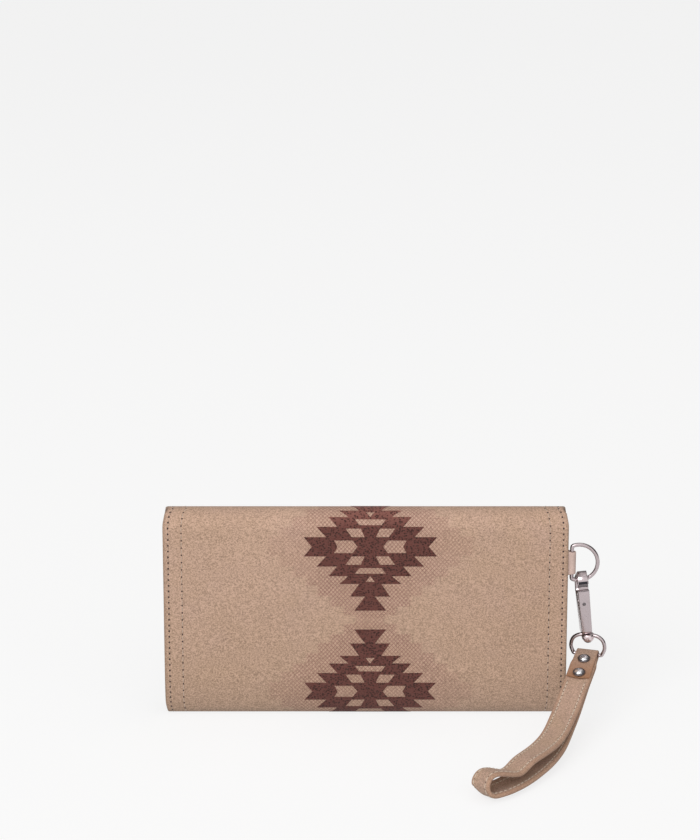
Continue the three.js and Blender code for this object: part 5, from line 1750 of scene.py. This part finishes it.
def build_world():
    """A room that is bright in front and dim overhead and behind."""
    world = bpy.data.worlds.new("soft_room")
    bpy.context.scene.world = world
    world.use_nodes = True
    n = Nodes(world.node_tree)
    way = n.parts(n.add("ShaderNodeTexCoord").outputs["Generated"])
    front = n.span(n.math("MULTIPLY", way[1], -1.0), -0.1, 0.85, 0, 1, smooth=True)
    low = n.span(way[2], -0.5, 0.1, 0.25, 1, smooth=True)
    tone = n.blend(n.math("MULTIPLY", front, low), (0.22, 0.215, 0.21, 1), (1.0, 1.0, 1.0, 1))
    background = world.node_tree.nodes["Background"]
    n.link(tone, background.inputs["Color"])
    background.inputs["Strength"].default_value = ROOM_STRENGTH


def area_light(name, place, target, size, energy):
    light = bpy.data.lights.new(name, "AREA")
    light.shape = "RECTANGLE"
    light.size, light.size_y = size
    light.energy = energy
    lamp = bpy.data.objects.new(name, light)
    bpy.context.scene.collection.objects.link(lamp)
    lamp.location = place
    lamp.rotation_euler = (Vector(target) - Vector(place)).to_track_quat("-Z", "Y").to_euler()
    return lamp


def dark_card(name, place, turn, size):
    """A dark sheet that only shows as a reflection in the metal."""
    bpy.ops.mesh.primitive_plane_add(size=size, location=place, rotation=turn)
    card = bpy.context.object
    card.name = name
    material, n, shader, where = finish(name, 0.9)
    blotch = n.noise(where, 2.0, 2, 0.5)
    black = n.blend(blotch, (0.02, 0.02, 0.02, 1), (0.04, 0.035, 0.035, 1))
    n.link(black, shader.inputs["Base Color"])
    card.data.materials.append(material)
    card.visible_camera = False
    card.visible_diffuse = False
    card.visible_shadow = False
    card.visible_transmission = False
    return card


def build_camera():
    camera = bpy.data.cameras.new("camera")
    camera.lens = CAMERA_LENS
    camera.sensor_fit = "VERTICAL"
    camera.sensor_height = 36
    camera.clip_end = 100
    eye = bpy.data.objects.new("camera", camera)
    bpy.context.scene.collection.objects.link(eye)
    eye.location = CAMERA_PLACE
    eye.rotation_euler = (math.radians(90 - CAMERA_DIP), 0, 0)
    bpy.context.scene.camera = eye
    return eye


def build_stage():
    bpy.context.scene.view_settings.view_transform = "Standard"
    build_world()
    lamps = [
        area_light("window", (-0.7, -1.5, 1.3), (0, 0, 0.05), (1.2, 0.9), WINDOW_WATTS),
        area_light("overhead", (0.2, 0.3, 1.8), (0, 0, 0.05), (1.5, 1.5), OVERHEAD_WATTS),
    ]
    cards = [dark_card(f"dark_card_{side}", (x, -0.4, 0.8), (0, math.radians(90), 0), 1.4)
             for side, x in (("left", -1.3), ("right", 1.3))]
    build_floor()
    build_camera()


# ---------------------------------------------------------------- operators

class WalletStep:
    bl_options = {"REGISTER", "UNDO"}


class WALLET_OT_materials(WalletStep, bpy.types.Operator):
    """Mix the leathers, cloths, metals and threads"""
    bl_idname = "wallet.materials"
    bl_label = "Materials"

    def execute(self, context):
        MATERIALS.update(build_materials())
        return {"FINISHED"}


class WALLET_OT_cover(WalletStep, bpy.types.Operator):
    """Cut and sew the suede cover, and print its stepped diamonds"""
    bl_idname = "wallet.cover"
    bl_label = "Cover"

    def execute(self, context):
        skins = wallet_skins()
        centres = diamond_centres(skins["back"])
        build_skin("cover_back_skin", skins["back"], False, centres, ["cover_back", "cover_spine"])
        build_skin("cover_flap_skin", skins["flap"], True, (), ["cover_flap"])
        build_skin("cover_front_skin", skins["front"], True, (), ["cover_front"])
        for name, centre in zip(("upper_diamond", "lower_diamond"), centres):
            build_diamond(name, skins["back"], centre)
        sew_skin("cover_back", skins["back"], 5 * MM, skins["back"].length - 0.5 * MM)
        sew_skin("cover_flap", skins["flap"], 0.5 * MM, skins["flap"].length - 12 * MM)
        sew_skin("cover_front", skins["front"], 5 * MM, skins["front"].length - 3 * MM)
        return {"FINISHED"}


class WALLET_OT_inside(WalletStep, bpy.types.Operator):
    """Line the walls and add the pockets, the window, the gussets and the snap"""
    bl_idname = "wallet.inside"
    bl_label = "Inside"

    def execute(self, context):
        spine_sheet()
        build_back_inside()
        build_front_inside()
        build_flap_inside()
        build_gusset("gusset_left", -1)
        build_gusset("gusset_right", 1)
        return {"FINISHED"}


class WALLET_OT_coin_pocket(WalletStep, bpy.types.Operator):
    """Sew the coin pocket and its zip"""
    bl_idname = "wallet.coin_pocket"
    bl_label = "Coin Pocket"

    def execute(self, context):
        build_coin_pocket()
        for suffix, side in (("front", 1), ("rear", -1)):
            build_zip_tape(f"zip_tape_{suffix}", side)
            build_zip_teeth(f"zip_teeth_{suffix}", side)
        build_zip_metal()
        return {"FINISHED"}


class WALLET_OT_hardware(WalletStep, bpy.types.Operator):
    """Make the ring tab, D-ring, snap hook and swivel eye"""
    bl_idname = "wallet.hardware"
    bl_label = "Ring and Hook"

    def execute(self, context):
        build_ring_tab()
        build_ring()
        build_hook()
        build_eye()
        return {"FINISHED"}


class WALLET_OT_strap(WalletStep, bpy.types.Operator):
    """Fold, rivet and stitch the wrist strap"""
    bl_idname = "wallet.strap"
    bl_label = "Wrist Strap"

    def execute(self, context):
        strap = build_strap()
        sew_strap(strap)
        build_rivets(strap)
        return {"FINISHED"}


class WALLET_OT_stage(WalletStep, bpy.types.Operator):
    """Set the pale floor, soft lights and camera"""
    bl_idname = "wallet.stage"
    bl_label = "Stage"

    def execute(self, context):
        build_stage()
        return {"FINISHED"}


STEPS = (WALLET_OT_materials, WALLET_OT_cover, WALLET_OT_inside, WALLET_OT_coin_pocket,
         WALLET_OT_hardware, WALLET_OT_strap, WALLET_OT_stage)


class WALLET_PT_panel(bpy.types.Panel):
    """Steps of the wallet in the order that they are made"""
    bl_idname = "WALLET_PT_panel"
    bl_label = "Wristlet Wallet"
    bl_space_type = "VIEW_3D"
    bl_region_type = "UI"
    bl_category = "Wallet"

    def draw(self, context):
        column = self.layout.column(align=True)
        for step in STEPS:
            column.operator(step.bl_idname)
        for name in WalletSettings.__annotations__:
            column.prop(context.scene.wallet_settings, name)


CLASSES = (WalletSettings, *STEPS, WALLET_PT_panel)


def register():
    for cls in CLASSES:
        bpy.utils.register_class(cls)
    bpy.types.Scene.wallet_settings = PointerProperty(type=WalletSettings)


def unregister():
    del bpy.types.Scene.wallet_settings
    for cls in reversed(CLASSES):
        bpy.utils.unregister_class(cls)


def main():
    register()
    for step in STEPS:
        space, name = step.bl_idname.split(".")
        getattr(getattr(bpy.ops, space), name)()


if __name__ == "__main__":
    main()
